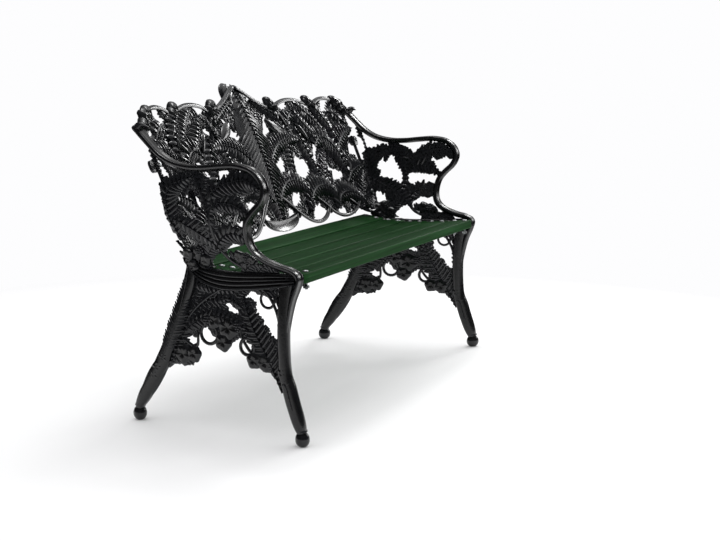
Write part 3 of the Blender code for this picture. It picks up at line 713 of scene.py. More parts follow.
def berries(mould, centre, radius, face):
    """A ripe cluster: one berry in the middle with two rings of berries round it."""
    size = radius * 0.36
    ball(mould, *centre, face * size * 1.2, size)
    for count, reach, rise in ((6, 0.52, 0.8), (10, 0.92, 0.1)):
        for number in range(count):
            angle = 2 * math.pi * (number + 0.5 * (count > 6)) / count
            x = centre[0] + radius * reach * math.cos(angle)
            y = centre[1] + radius * reach * math.sin(angle)
            ball(mould, x, y, face * size * rise, size)


def bud(mould, points, breadth, depth, lift=0.0):
    """A smooth pointed bud."""
    count = 12
    line = smooth(points, count)
    shape = [max(math.sin(math.pi * (number / (count - 1)) ** 0.8), 0.06) for number in range(count)]
    widths = [breadth / 2 * value for value in shape]
    depths = [depth * value**0.6 for value in shape]
    sweep(mould, line, widths, depths, [lift] * count, BUD_SECTION)


def ring_stem(mould, centre, radius, thickness):
    """A stem curled into a loop."""
    count = 22
    points = []
    for number in range(count):
        angle = 2 * math.pi * number / (count - 1)
        points.append(Vector((centre[0] + radius * math.cos(angle), centre[1] + radius * math.sin(angle))))
    sweep(mould, points, [thickness] * count, [thickness] * count, [0.0] * count, ROD)


def turned(mould, middle, profile):
    """A turned form standing upright on the drawing: the profile is (radius, height)."""
    circle = round_section(TURNED_SIDES)
    rings = []
    for radius, height in profile:
        rings.append([Vector((middle + radius * u, height, radius * v)) for u, v in circle])
    mould.skin(rings)


# %% [markdown]
# ## The pattern of an end
#
# An end is a pierced panel inside a moulded rim. It is drawn flat as (depth, height), and the same drawing
# serves both ends. The rim starts at the top rear corner, runs down the arm, curls in at the elbow and
# carries on down the front leg. Its section has a rounded bead along each edge and is hollow between the
# beads.

# %% Outlines of an end
RIM_LINE = metres((
    (214, 798), (176, 762), (140, 730), (100, 709), (50, 699), (0, 699), (-50, 704), (-100, 707),
    (-145, 698), (-172, 675), (-180, 648), (-168, 620), (-145, 597), (-126, 573), (-118, 545), (-119, 515),
    (-130, 490), (-155, 470), (-195, 455), (-232, 446), (-252, 432), (-246, 405), (-233, 370), (-222, 320),
    (-214, 260),
))
RIM_SECTION = (
    (-0.72, -0.97), (-0.92, -0.92), (-1.00, -0.78), (-0.95, -0.60), (-0.80, -0.50), (-0.76, -0.25),
    (-0.74, 0.0), (-0.76, 0.25), (-0.80, 0.50), (-0.95, 0.60), (-1.00, 0.78), (-0.92, 0.92), (-0.72, 0.97),
    (-0.40, 1.00), (0.00, 0.93), (0.30, 0.72), (0.62, 0.50), (0.90, 0.30), (1.00, 0.00), (0.90, -0.30),
    (0.62, -0.50), (0.30, -0.72), (0.00, -0.93), (-0.40, -1.00),
)
RIM_HALF = 8.8 * MM
RIM_FADES_FROM = 0.84
RIM_HALF_WIDTH = 17.6 * MM


def make_rim(mould):
    line = smooth(RIM_LINE, 150)
    shares = np.linspace(0, 1, len(line))
    fade = [1.0 - 0.45 * max(share - RIM_FADES_FROM, 0.0) / (1.0 - RIM_FADES_FROM) for share in shares]
    depths = [RIM_HALF_WIDTH * value for value in fade]
    halves = [RIM_HALF * value for value in fade]
    sweep(mould, line, halves, depths, [0.0] * len(line), RIM_SECTION)


# %% [markdown]
# ## The seat rail
#
# The rail carries the boards. Its outer face has parallel mouldings that sweep up at the rear, where they
# meet the back leg. The section steps back from one rounded moulding to the next, so each one catches a
# line of light.

# %% Seat rail
RAIL_SECTION = (
    (-1.00, 0.40), (-0.94, 0.86), (-0.78, 1.00), (-0.60, 0.90), (-0.52, 0.70), (-0.44, 0.84), (-0.28, 0.92),
    (-0.14, 0.82), (-0.07, 0.60), (0.00, 0.72), (0.14, 0.80), (0.28, 0.70), (0.34, 0.50), (0.42, 0.60),
    (0.56, 0.66), (0.70, 0.56), (0.78, 0.38), (0.92, 0.36), (1.00, 0.20),
)
RAIL_SECTION += tuple((u, -v) for u, v in reversed(RAIL_SECTION))
RAIL_HALF_WIDTH = 17.6 * MM
RAIL_LINE = metres((
    (92, 462), (74, 438), (45, 420), (0, 410), (-50, 408), (-110, 412), (-170, 418), (-225, 424),
    (-248, 426),
))


def make_rail(mould):
    line = smooth(RAIL_LINE, 70)
    halves = blended((0.002, 0.013, 0.022, 0.026, 0.025, 0.023, 0.021, 0.018, 0.014), 70)
    sweep(mould, line, [-half for half in halves], [RAIL_HALF_WIDTH] * 70, [0.0] * 70, RAIL_SECTION)


# %% [markdown]
# ## Legs and feet
#
# A leg is round-edged and a little flatter than it is wide. At half height it is narrowest. Below that it
# swells like a calf, wrapped in a pointed sheath, and ends in a thin ankle and a bun foot. Each leg is a
# list of (depth, height, half width), read smoothly.

# %% Legs
FRONT_LEG = metres((
    (-222, 418, 23), (-216, 385, 20), (-210.5, 335, 17.5), (-208, 280, 17), (-209.5, 225, 16.5),
    (-213, 180, 18), (-222.5, 150, 20.5), (-234.5, 110, 21), (-248.5, 70, 20), (-257, 46, 16.5),
    (-261, 34, 12),
))
REAR_LEG = metres((
    (75, 440, 15), (86, 390, 20), (105, 340, 20.5), (123.5, 295, 20.5), (147, 240, 21), (173, 186, 24),
    (185.5, 162, 26), (200.5, 140, 26.2), (226, 100, 23.8), (246.5, 68, 22.5), (260, 46, 16), (263, 34, 12),
))
LEG_SECTION = [
    (math.copysign(abs(u) ** 0.75, u), math.copysign(abs(v) ** 0.75, v)) for u, v in round_section(20)
]
ANKLE_BELOW = 0.06
ANKLE_DEPTH = 0.0085
ANKLE_GROWTH = 0.42
LEG_DEPTH = 15.8 * MM
FRONT_SHEATH = metres(((-213, 178), (-222.5, 150), (-234.5, 110), (-248.5, 70), (-258, 42)))
REAR_SHEATH = metres(((168, 196), (185.5, 162), (205.5, 132), (226, 100), (246.5, 68), (262, 42)))

SHEATH_SECTION = (
    (-1.0, 0.0), (-0.8, 0.55), (-0.35, 0.85), (0.0, 1.0), (0.35, 0.85), (0.8, 0.55),
    (1.0, 0.0), (0.8, -0.55), (0.35, -0.85), (0.0, -1.0), (-0.35, -0.85), (-0.8, -0.55),
)


def make_leg(mould, stations):
    count = 60
    fine = smooth([(y, z, half) for y, z, half in stations], count)
    line = [Vector((point.x, point.y)) for point in fine]
    slant = [abs((line[min(n + 1, count - 1)] - line[max(n - 1, 0)]).normalized().y) for n in range(count)]
    halves = [point.z * share for point, share in zip(fine, slant)]
    depths = []
    for point, half in zip(line, halves):
        ankle = min(LEG_DEPTH, ANKLE_DEPTH + half * ANKLE_GROWTH)
        depths.append(ankle if point.y < ANKLE_BELOW else LEG_DEPTH)
    sweep(mould, line, halves, depths, [0.0] * count, LEG_SECTION)


def make_sheath(mould, points, half):
    """The pointed bud that wraps the calf; it stands a little proud of the leg on both faces."""
    count = 26
    line = smooth(points, count)
    shares = np.linspace(0, 1, count)
    halves = [half * max(math.sin(math.pi * (0.03 + 0.90 * share) ** 0.8), 0.05) ** 0.6 for share in shares]
    swells = [math.sin(math.pi * (0.05 + 0.80 * share)) ** 0.5 for share in shares]
    depths = [LEG_DEPTH * (0.35 + 0.68 * swell) for swell in swells]
    depths = [min(depth, 15.9 * MM) for depth in depths]
    sweep(mould, line, halves, depths, [0.0] * count, SHEATH_SECTION)


FOOT_COLLAR = ((0.0100, 0.046), (0.0135, 0.0435), (0.0148, 0.0410), (0.0135, 0.0385), (0.0115, 0.0370))
FOOT_RADIUS = 20.0 * MM
FOOT_MIDDLE = 18.5 * MM
FOOT_PROFILE = [*FOOT_COLLAR]
for level in (0.86, 0.66, 0.40, 0.10, -0.25, -0.55, -0.80, -0.925):
    FOOT_PROFILE.append((FOOT_RADIUS * math.sqrt(1 - level**2) ** 0.8, FOOT_MIDDLE + FOOT_RADIUS * level))
FOOT_PROFILE.append((FOOT_PROFILE[-1][0] - 1 * MM, 0.0))


def make_feet(mould):
    for mount in (front_foot, rear_foot):
        turned(mould, mount.y - SHIFT, FOOT_PROFILE)


# %% [markdown]
# ## Ferns of an end
#
# The panel is a bouquet that grows from the seat. Above the seat the fronds follow the rear edge and arch
# towards the front of the arm. Below it they spread from the legs, round a boss of leaves and berries.

# %% The panel's outline and openings
ARM_OUTLINE = metres((
    (205, 792), (170, 757), (140, 730), (100, 709), (50, 699), (0, 699), (-50, 704), (-100, 707),
    (-145, 698), (-172, 675), (-180, 648), (-168, 620), (-145, 597), (-126, 573), (-118, 545), (-119, 515),
    (-130, 490), (-155, 470), (-200, 445), (-200, 425), (70, 425), (84, 470), (104, 502), (112, 522),
    (128, 560), (139, 600), (145, 640), (157, 680), (172, 730), (190, 775),
))
ARM_OPENINGS = metres((
    ((85, 575), (78, 600), (62, 628), (45, 652), (30, 630), (16, 603), (2, 585), (3, 552), (20, 566),
      (50, 574), (66, 575)),
    ((108, 498), (92, 533), (75, 520), (55, 500), (40, 485), (60, 476), (85, 478)),
    ((0, 697), (-50, 702), (-92, 706), (-78, 688), (-55, 686), (-42, 657), (-22, 668), (-12, 688)),
    ((-104, 704), (-120, 704), (-118, 692), (-108, 694)),
    ((-136, 698), (-152, 690), (-144, 686)),
    ((-98, 634), (-130, 640), (-166, 642), (-150, 618), (-132, 596), (-118, 610), (-112, 628)),
    ((-20, 588), (-50, 590), (-85, 586), (-122, 580), (-120, 556), (-95, 562), (-65, 568), (-35, 556),
      (-20, 560)),
    ((-38, 500), (-70, 508), (-105, 509), (-122, 503), (-118, 493), (-100, 492), (-70, 486), (-55, 488)),
    ((-128, 474), (-142, 478), (-156, 466), (-140, 458)),
    ((12, 434), (6, 462), (-30, 478), (-55, 464), (-82, 450), (-50, 441), (-15, 436)),
    ((154, 668), (160, 700), (150, 718), (138, 716), (110, 702), (68, 690), (100, 684), (125, 672),
      (142, 660)),
))
LEG_OUTLINE = metres((
    (-225, 415), (85, 415), (89, 385), (106.5, 340), (123.5, 295), (147, 240), (173, 186), (165, 162),
    (145, 170), (100, 170), (80, 172), (60, 190), (55, 220), (62, 248), (52, 272), (10, 262), (0, 232),
    (-20, 220), (-45, 243), (-70, 262), (-92, 258), (-104, 225), (-110, 200), (-135, 188), (-165, 186),
    (-178, 166), (-197, 148), (-216, 140), (-209.5, 225), (-210.5, 335), (-222, 410),
))
LEG_OPENINGS = metres((
    ((-26, 345), (-40, 354), (-54, 338), (-50, 326)),
    ((-93, 368), (-108, 386), (-128, 381), (-131, 366), (-118, 360), (-112, 372)),
    ((-142, 372), (-152, 378), (-160, 362), (-174, 360), (-160, 349), (-147, 356)),
    ((-126, 354), (-140, 352), (-150, 341), (-162, 345), (-174, 330), (-184, 310), (-190, 285), (-190, 266),
      (-178, 272), (-174, 290), (-164, 300), (-158, 314), (-144, 320), (-136, 338)),
    ((-176, 352), (-186, 340), (-193, 328), (-190, 345), (-182, 357)),
    ((48, 275), (40, 280), (34, 264), (20, 252), (4, 248), (15, 240), (35, 244), (46, 260)),
    ((-84, 236), (-92, 254), (-108, 243), (-105, 230), (-94, 226)),
    ((84, 246), (75, 246), (70, 232), (77, 226), (85, 230)),
))

# %% Ferns of an end
ARM_FRONDS = metres((
    (((70, 450), (88, 500), (108, 552), (122, 620), (142, 690), (176, 764)), 60, 0),
    (((112, 548), (124, 600), (120, 632), (100, 655), (70, 668), (40, 676)), 74, 2),
    (((118, 566), (95, 562), (65, 548), (30, 530), (-5, 508), (-45, 476)), 66, 0),
    (((50, 694), (30, 678), (12, 640), (0, 600), (-8, 560), (-2, 520)), 56, -1),
    (((-5, 625), (-45, 655), (-85, 670), (-130, 676), (-174, 652)), 72, 2),
    (((2, 590), (-30, 610), (-65, 615), (-100, 606), (-134, 580)), 62, -1),
    (((-15, 490), (-34, 516), (-60, 533), (-92, 534), (-128, 512)), 64, 2),
    (((110, 505), (78, 470), (40, 452), (0, 440)), 36, 0),
))
LEG_FRONDS = metres((
    (((-204, 132), (-170, 200), (-136, 256), (-108, 310), (-86, 372)), 92, 1),
    (((168, 160), (138, 225), (112, 300), (94, 395)), 84, 1),
    (((120, 245), (70, 318), (10, 356), (-50, 358), (-96, 330)), 70, -1.5),
    (((105, 262), (60, 296), (5, 312), (-50, 305), (-100, 285)), 60, 2),
    (((90, 395), (30, 392), (-30, 388), (-85, 392)), 56, 0),
    (((-205, 215), (-200, 270), (-200, 330), (-190, 385)), 30, 0),
    (((150, 180), (110, 190), (80, 205), (68, 232)), 46, 0),
))
END_LEAVES = (
    (5, (-82, 474), 20), (5, (60, 470), 24), (4, (30, 456), 20), (4, (-118, 468), 14), (5, (-20, 244), 27),
    (6, (-36, 284), 34), (5, (76, 203), 25), (5, (112, 200), 30), (5, (-116, 206), 24),
    (4, (-150, 204), 26), (5, (10, 300), 26),
)
END_BERRIES = metres((((-104, 472), 13), ((44, 480), 13), ((30, 300), 15), ((-66, 292), 14)))
END_RINGS = metres((((25, 262), 27, 5), ((-96, 240), 22, 5), ((-160, 368), 21, 4)))
END_STEMS = metres((
    (((55, 700), (32, 680), (14, 640), (-6, 600), (-10, 555), (-20, 505), (-48, 466), (-85, 446)), 6),
    (((130, 230), (90, 300), (40, 350), (-30, 390), (-100, 405)), 5.5),
    (((-100, 405), (-150, 392), (-182, 350), (-196, 300), (-200, 230)), 5),
    (((-196, 400), (-186, 375), (-196, 345)), 4),
    (((118, 245), (70, 222), (62, 250), (70, 290)), 4.8),
    (((-150, 215), (-112, 222), (-80, 262), (-80, 300)), 5),
    (((108, 476), (70, 450), (20, 432), (-20, 432)), 5.8),
))
UNDERGROWTH_SPACING = 26 * MM


def arching_lines(first, last, low, high, across, up):
    """Rows of arches that fill a stretch of the drawing as scales do, leaning the way that across points."""
    lines = []
    step = UNDERGROWTH_SPACING * 1.6
    for row in range(int((high - low) / step) + 1):
        for column in range(int((last - first) / step) + 1):
            x = first + (column + 0.5 * (row % 2)) * step
            z = low + row * step
            shape = ((0.0, 0.0), (0.15, 0.55), (0.55, 0.95), (1.0, 0.90))
            lines.append(tuple((x + across * u, z + up * v) for u, v in shape))
    return lines


LEG_RELIEF = metres((  # (spine, width): low fronds that lie on the faces of the legs
    (((176, 182), (145, 243), (120, 300), (104, 345), (90, 392), (82, 432)), 58),
    (((-214, 160), (-222, 150), (-228, 132), (-234, 112), (-240, 94)), 36),
))
LEG_KNOTS = (
    (4, (192, 158), 19), (4, (204, 134), 16), (5, (172, 186), 18), (4, (-208, 186), 16),
    (4, (-219, 158), 15), (5, (70, 440), 20), (4, (78, 470), 18), (5, (82, 452), 14),
)
LEG_RELIEF_LIFT = 12.5 * MM
CORNER_SCROLL = metres(((204, 778), (203, 796), (190, 806), (176, 802)))


def make_leg_relief(mould):
    """Fronds and leaves in low relief on both faces of the legs, and the scroll where the rim begins."""
    for face in (1, -1):
        for spine, width in LEG_RELIEF:
            frond(mould, spine, width, face * LEG_RELIEF_LIFT, pitch=9 * MM, arch=face * 5 * MM)
        for number, (lobes, *form) in enumerate(LEG_KNOTS):
            lift = face * LEG_RELIEF_LIFT * 0.8
            lobed_leaf(mould, *metres(form), lobes, 0.7 * number, lift, face * 6 * MM)
    bud(mould, CORNER_SCROLL, 0.024, depth=17 * MM)


def make_end_ferns(arm, leg):
    for mould, fronds in ((arm, ARM_FRONDS), (leg, LEG_FRONDS)):
        for spine, width, lift in fronds:
            frond(mould, spine, width, lift)
    undergrowth(arm, arching_lines(-0.160, 0.200, 0.400, 0.760, -0.075, 0.060), 0.046, -0.0005, 2 * MM)
    undergrowth(leg, arching_lines(-0.160, 0.220, 0.130, 0.390, -0.070, 0.060), 0.046, -0.0005, 2 * MM)
    for number, (lobes, *form) in enumerate(END_LEAVES):
        for face in (1, -1):
            lobed_leaf(leg, *metres(form), lobes, 0.5 * number, lift=face * 1.5 * MM, depth=face * 6.5 * MM)
    for centre, radius in END_BERRIES:
        for face in (1, -1):
            berries(leg, centre, radius, face)
    for centre, radius, thickness in END_RINGS:
        ring_stem(leg, centre, radius, thickness)
    for points, radius in END_STEMS:
        stem(leg, points, radius, tip=0.8)


for side, place in (("left", place_left_end), ("right", place_right_end)):
    structure = Mould()
    make_rim(structure)
    make_rail(structure)
    make_leg(structure, FRONT_LEG)
    make_leg(structure, REAR_LEG)
    make_sheath(structure, FRONT_SHEATH, 0.0212)
    make_sheath(structure, REAR_SHEATH, 0.0255)
    make_feet(structure)
    make_leg_relief(structure)
    structure.cast(f"{side}_end_rim_and_legs", place, iron, f"{side}_end_casting")
    arm = Mould(ARM_OUTLINE, ARM_OPENINGS)
    leg = Mould(LEG_OUTLINE, LEG_OPENINGS)
    make_end_ferns(arm, leg)
    arm.cast(f"{side}_arm_ferns", place, iron)
    leg.cast(f"{side}_leg_ferns", place, iron)

# %% [markdown]
# ## Ferns of the back
#
# The back is drawn flat as (across, height) for its right half and mirrored. The tall palmette in the
# middle is one broad frond. Round it are arched fronds, smooth buds, and twigs and knobs that make the top
# edge. Finer fronds, a piece of their own, fill the ground behind them.

# %% The back's outline and openings
BACK_EDGE_INSET = 8.0 * MM


def back_edge(height):
    """Where the curved back meets the inner face of the right-hand end at this height."""
    x = 0.6
    for _ in range(12):
        y = place_back(Vector((x, height, 0.0))).y
        x = place_right_end(Vector((y - SHIFT, height, 0.0))).x - BACK_EDGE_INSET
    return x


BACK_SIDE = tuple((back_edge(height), height) for height in (0.470, 0.550, 0.630, 0.710, 0.790))
BACK_FOOT = metres((
    (0, 462), (100, 474), (145, 496), (175, 480), (210, 464), (250, 458), (290, 464), (330, 484),
    (375, 470), (420, 461), (480, 463), (520, 478), (560, 466), (620, 458),
))
BACK_TOP = metres((
    (620, 826), (550, 842), (500, 836), (455, 820), (380, 838), (310, 843), (245, 834), (210, 816),
    (140, 834), (80, 858), (35, 880), (0, 895),
))
BACK_OUTLINE = (*BACK_FOOT, *BACK_SIDE, *BACK_TOP)
BACK_OPENINGS = metres((
    ((78, 736), (98, 738), (122, 746), (140, 750), (126, 768), (128, 782), (150, 798), (146, 804),
      (120, 796), (102, 772), (88, 754)),
    ((104, 624), (130, 626), (154, 622), (140, 640), (160, 656), (142, 668), (154, 694), (136, 680),
      (124, 660), (114, 640)),
    ((210, 625), (214, 655), (234, 672), (256, 658), (290, 656), (298, 632), (306, 620), (276, 614),
      (268, 600), (254, 602), (250, 618), (228, 620)),
    ((336, 648), (360, 660), (352, 662), (380, 684), (396, 700), (398, 686), (382, 668), (366, 660),
      (372, 646)),
    ((424, 584), (426, 600), (440, 618), (462, 617), (472, 604), (496, 600), (504, 584), (470, 580),
      (440, 578)),
    ((104, 530), (126, 548), (150, 557), (186, 558), (174, 538), (150, 528), (124, 516)),
    ((66, 508), (88, 510), (102, 496), (86, 491)),
    ((222, 480), (240, 502), (264, 513), (288, 506), (310, 494), (296, 482), (262, 474)),
    ((394, 484), (404, 498), (416, 500), (428, 488), (416, 480), (400, 478)),
    ((264, 816), (272, 828), (298, 830), (300, 824), (282, 816)),
    ((232, 760), (244, 770), (262, 772), (258, 784), (280, 780), (294, 776), (280, 764), (256, 758)),
    ((307, 744), (313, 764), (322, 760), (324, 742)),
    ((496, 812), (516, 818), (532, 828), (552, 820), (536, 806), (518, 800)),
    ((584, 764), (602, 776), (606, 790), (626, 790), (634, 778), (616, 766), (600, 764)),
    ((520, 608), (528, 628), (546, 620), (562, 614), (564, 606), (540, 606)),
    ((468, 724), (472, 734), (490, 732), (488, 720)),
    ((534, 744), (540, 756), (548, 756), (544, 744)),
    ((584, 660), (598, 680), (610, 694), (620, 712), (645, 724), (700, 726), (700, 648), (640, 648),
      (610, 656)),
))

# %% Ferns of the back
BACK_FRONDS = metres((
    (((20, 635), (60, 668), (110, 700), (170, 722), (240, 728), (300, 716)), 82, 3),
    (((20, 545), (60, 578), (110, 598), (165, 598), (215, 575), (245, 540)), 84, 4),
    (((205, 500), (235, 545), (290, 570), (345, 570), (390, 545), (415, 500)), 80, 5),
    (((385, 490), (410, 528), (460, 541), (515, 532), (555, 505), (575, 475)), 74, 5),
    (((290, 750), (302, 710), (315, 665), (330, 620), (342, 560)), 76, 2),
    (((370, 700), (410, 722), (450, 715), (485, 685), (508, 645), (520, 595)), 100, 6),
    (((215, 735), (208, 700), (195, 660), (180, 620), (170, 590)), 70, 0),
    (((235, 745), (265, 790), (320, 812), (380, 805), (425, 780)), 70, 2),
    (((300, 815), (335, 775), (375, 740), (420, 720)), 66, 5),
    (((340, 835), (390, 800), (440, 760), (470, 725)), 66, 2),
    (((440, 826), (475, 790), (505, 745), (515, 700)), 70, 6),
    (((495, 670), (535, 700), (585, 728), (648, 742)), 80, 3),
    (((500, 570), (545, 600), (600, 615), (640, 618)), 80, 2),
    (((545, 480), (575, 530), (600, 570), (625, 600)), 70, 0),
    (((540, 800), (575, 790), (610, 765), (635, 735)), 60, 0),
    (((340, 560), (370, 610), (400, 650), (425, 690)), 70, -1),
    (((230, 820), (200, 800), (165, 812), (120, 830), (70, 850)), 50, 1),
))
BACK_BUDS = metres((
    (((118, 790), (150, 768), (210, 738)), 36), (((160, 832), (186, 842), (222, 824)), 26),
    (((404, 834), (432, 843), (464, 824)), 26), (((592, 830), (622, 832), (656, 804)), 30),
    (((300, 770), (330, 740), (350, 710)), 24), (((450, 800), (480, 790), (510, 760)), 24),
))
TOP_KNOBS = (  # (lobes, centre, radius): rolled leaf tips along the top edge
    (3, (184, 839), 21), (4, (204, 826), 17), (3, (430, 840), 20), (4, (452, 828), 16), (3, (602, 836), 20),
    (4, (626, 822), 24), (5, (646, 804), 20),
)
TOP_TWIGS = metres((
    ((0, 893), (35, 880), (80, 858), (140, 835), (215, 818)),
    ((205, 815), (245, 836), (310, 845), (380, 840), (455, 818)),
    ((440, 812), (490, 838), (550, 845), (600, 833), (650, 800)),
))
BACK_STEMS = metres((
    ((450, 822), (490, 780), (520, 720), (545, 650)),
    ((215, 825), (240, 775), (270, 720)),
    ((10, 580), (80, 535), (130, 500), (190, 470), (250, 463), (305, 480), (345, 520)),
    ((260, 545), (310, 515), (350, 485), (400, 467), (460, 468), (520, 490), (570, 540)),
    ((440, 540), (500, 500), (550, 472), (600, 462), (640, 470)),
))
SIDE_STEM_INSET = 24 * MM
CREST_LEAVES = metres((  # (line, breadth, lift): the palmette's tip, folded back into a knob
    (((-16, 832), (-24, 866), (-12, 898)), 62, -14), (((16, 836), (18, 866), (6, 899)), 50, -10),
    (((-52, 850), (-30, 884), (4, 899)), 36, -22), (((-58, 836), (-34, 862), (0, 882)), 30, -6),
    (((54, 836), (32, 862), (-2, 882)), 30, -6),
))
PLAQUE_HALF = 0.112
PLAQUE_MIDDLE = 0.480
PLAQUE_TOP = 0.502
PLAQUE_HOLLOW = 0.012
PLAQUE_WAIST = 0.500
PLAQUE_DROP = 0.044
PLAQUE_STEPS = 28
PLAQUE_RINGS = (  # (share of size, lift in mm)
    (1.00, -5.0), (1.00, 4.0), (0.97, 6.5), (0.92, 6.5), (0.89, 4.5),
)


def make_plaque(mould):
    """A boat-shaped tablet with a raised edge; its face is left plain."""
    rings = []
    for share, lift in PLAQUE_RINGS:
        ring = []
        for step in range(PLAQUE_STEPS):
            angle = 2 * math.pi * step / PLAQUE_STEPS
            x = PLAQUE_HALF * math.cos(angle)
            if math.sin(angle) >= 0:
                z = PLAQUE_TOP - PLAQUE_HOLLOW * (1 - (x / PLAQUE_HALF) ** 2)
            else:
                z = PLAQUE_WAIST - PLAQUE_DROP * math.sqrt(1 - (x / PLAQUE_HALF) ** 2)
            z = PLAQUE_MIDDLE + (z - PLAQUE_MIDDLE) * (2 * share - 1)
            ring.append(Vector((x * share, z, lift * MM)))
        rings.append(ring)
    mould.skin(rings)


PALMETTE_PITCH = 13.5 * MM
LOBE_RATE = 26.0
BACK_PITCH = 16.0 * MM
BACK_ARCH = 7.0 * MM


def palmette_reach(share):
    """The palmette widens quickly below its crest, stays broad and draws in at the plaque."""
    outline = min(1.0, 0.15 + 3.2 * share) * (1.0 - 0.60 * max(share - 0.55, 0.0) / 0.45)
    return outline * (0.94 + 0.09 * math.sin(LOBE_RATE * share))


undergrowth_of_back = Mould(BACK_OUTLINE, BACK_OPENINGS)
ground = arching_lines(0.020, 0.640, 0.440, 0.840, 0.085, 0.070)
undergrowth(undergrowth_of_back, ground, 0.052, -0.003, 3 * MM, relief=0.42)
undergrowth_of_back.mirror()
undergrowth_of_back.cast("back_undergrowth", place_back, iron)

back = Mould(BACK_OUTLINE, BACK_OPENINGS)
for spine, width, lift in BACK_FRONDS:
    frond(back, spine, width, lift + 2 * MM, pitch=BACK_PITCH, arch=BACK_ARCH)
for spine, width in BACK_BUDS:
    bud(back, spine, width, depth=9 * MM, lift=4 * MM)
for number, (lobes, *form) in enumerate(TOP_KNOBS):
    for face in (1, -1):
        lobed_leaf(back, *metres(form), lobes, 1.1 * number, lift=2 * MM, depth=face * 14 * MM)
for spine in TOP_TWIGS:
    stem(back, spine, 0.0068, tip=0.85)
for spine in BACK_STEMS:
    stem(back, spine, 0.0066, tip=0.85, lift=1 * MM)
side_stem = [(back_edge(height) - SIDE_STEM_INSET, height) for height in (0.490, 0.560, 0.640, 0.715)]
stem(back, side_stem, 0.0060, tip=0.9, lift=-4 * MM)
back.mirror()
frond(
    back,
    ((0.0, 0.893), (0.0, 0.800), (0.0, 0.700), (0.0, 0.600), (0.0, 0.492)),
    0.220,
    (-0.012, 0.006, 0.012, 0.014, 0.014, 0.010, 0.005, 0.002),
    pitch=PALMETTE_PITCH,
    lean=0.66,
    rib=4.2 * MM,
    arch=15 * MM,
    shape=palmette_reach,
)
for points, breadth, lift in CREST_LEAVES:
    bud(back, points, breadth, depth=8 * MM, lift=lift)
make_plaque(back)
back.cast("back_ferns", place_back, iron, "back_casting")

# %% [markdown]
# ## Seat boards
#
# Each board is one planed length of softwood. The frame says where its corners are. The board is built as a
# loft of rounded sections along its length, with a slight wander in width and thickness, because
# hand-planed and painted timber is never dead straight.

# %% Boards
BOARD_ROUND = 3.2 * MM
BOARD_WANDER = 0.25 * MM
BOARD_STATIONS = 90


def corners_of(node):
    """The node's mesh corners in the bench's own space."""
    body = bpy.data.objects[node]
    return [body.matrix_world @ corner.co for corner in body.data.vertices]


def board_frame(node):
    """Middle, upward direction and rearward direction of a board."""
    up = Vector((0, 0, 0))
    for face in bpy.data.objects[node].data.polygons:
        if face.normal.z > 0.9:
            up += face.normal * face.area
    up.normalize()
    rear = up.cross(Vector((1, 0, 0))).normalized()
    points = corners_of(node)
    middle = Vector((0, 0, 0))
    for direction in (up, rear):
        reaches = [point.dot(direction) for point in points]
        middle += direction * (min(reaches) + max(reaches)) / 2
    return middle, up, rear


def rounded_rectangle(half_width, half_height, radius, steps=4):
    section = []
    for corner, (x, y) in enumerate(((1, 1), (-1, 1), (-1, -1), (1, -1))):
        for step in range(steps + 1):
            angle = math.pi / 2 * (corner + step / steps)
            u = x * (half_width - radius) + radius * math.cos(angle)
            v = y * (half_height - radius) + radius * math.sin(angle)
            section.append((u, v))
    return section


def make_board(number):
    node = f"seat_board_{number}"
    middle, up, rear = board_frame(node)
    points = corners_of(node)
    half_width = max((point - middle).dot(rear) for point in points)
    half_height = max((point - middle).dot(up) for point in points)
    ends = {}
    for share in (-1, 1):
        near = [abs(point.x) for point in points if (point - middle).dot(rear) * share > half_width - 0.004]
        ends[share] = max(near)
    mould = Mould()
    rings = []
    section = rounded_rectangle(half_width, half_height, BOARD_ROUND)
    for station in range(BOARD_STATIONS + 1):
        share = 2 * station / BOARD_STATIONS - 1
        wander = BOARD_WANDER * math.sin(9.1 * share + number) * math.sin(4.3 * share * number + 1)
        close = 1.0 - 0.12 * (abs(share) > 0.9995)
        ring = []
        for u, v in section:
            reach = ends[-1] + (ends[1] - ends[-1]) * (u / half_width + 1) / 2
            across = u * close - abs(wander) * (u > 0)
            above = v * close - abs(wander) * (v > 0)
            place = middle + rear * across + up * above
            ring.append(Vector((reach * share, place.y, place.z)))
        rings.append(ring)
    mould.skin(rings)
    mould.cast(f"board_{number}", Vector, painted_wood, node, crease=40)


for number in (1, 2, 3, 4, 5):
    make_board(number)

# %% [markdown]
# ## Bolts and nuts
#
# Each board is held by domed bolts through the ledge of the end, with square nuts below. The frame's own
# bolts say where each one is and which way it points; here each gets a true round dome and each nut a
# chamfer.

# %% Bolts and nuts
HEAD_RADIUS = 8.5 * MM
HEAD_HEIGHT = 4.5 * MM
SHANK_RADIUS = 4.0 * MM


def points_about_middle(node):
    """The middle of the node's corners, and the corners as seen from there."""
    points = np.array([tuple(corner.co) for corner in bpy.data.objects[node].data.vertices])
    middle = points.mean(axis=0)
    return Vector(middle), points - middle


def bolt_axis(node):
    """Where a bolt's head sits, and the direction from its tail to its head."""
    middle, spread = points_about_middle(node)
    values, vectors = np.linalg.eigh(spread.T @ spread)
    axis = vectors[:, 2]
    reach = spread @ axis
    widths = np.linalg.norm(spread - np.outer(reach, axis), axis=1)
    if reach[widths.argmax()] < 0:
        axis = -axis
        reach = -reach
    axis = Vector(axis)
    return middle + axis * float(reach.max()), middle + axis * float(reach.min()), axis


def lathe(name, place, profile, node):
    """A plated piece turned about the place's own upright axis."""
    mould = Mould()
    circle = round_section(TURNED_SIDES)
    rings = []
    for radius, height in profile:
        rings.append([place @ Vector((radius * u, radius * v, height)) for u, v in circle])
    mould.skin(rings)
    mould.cast(name, Vector, steel, node, crease=35)


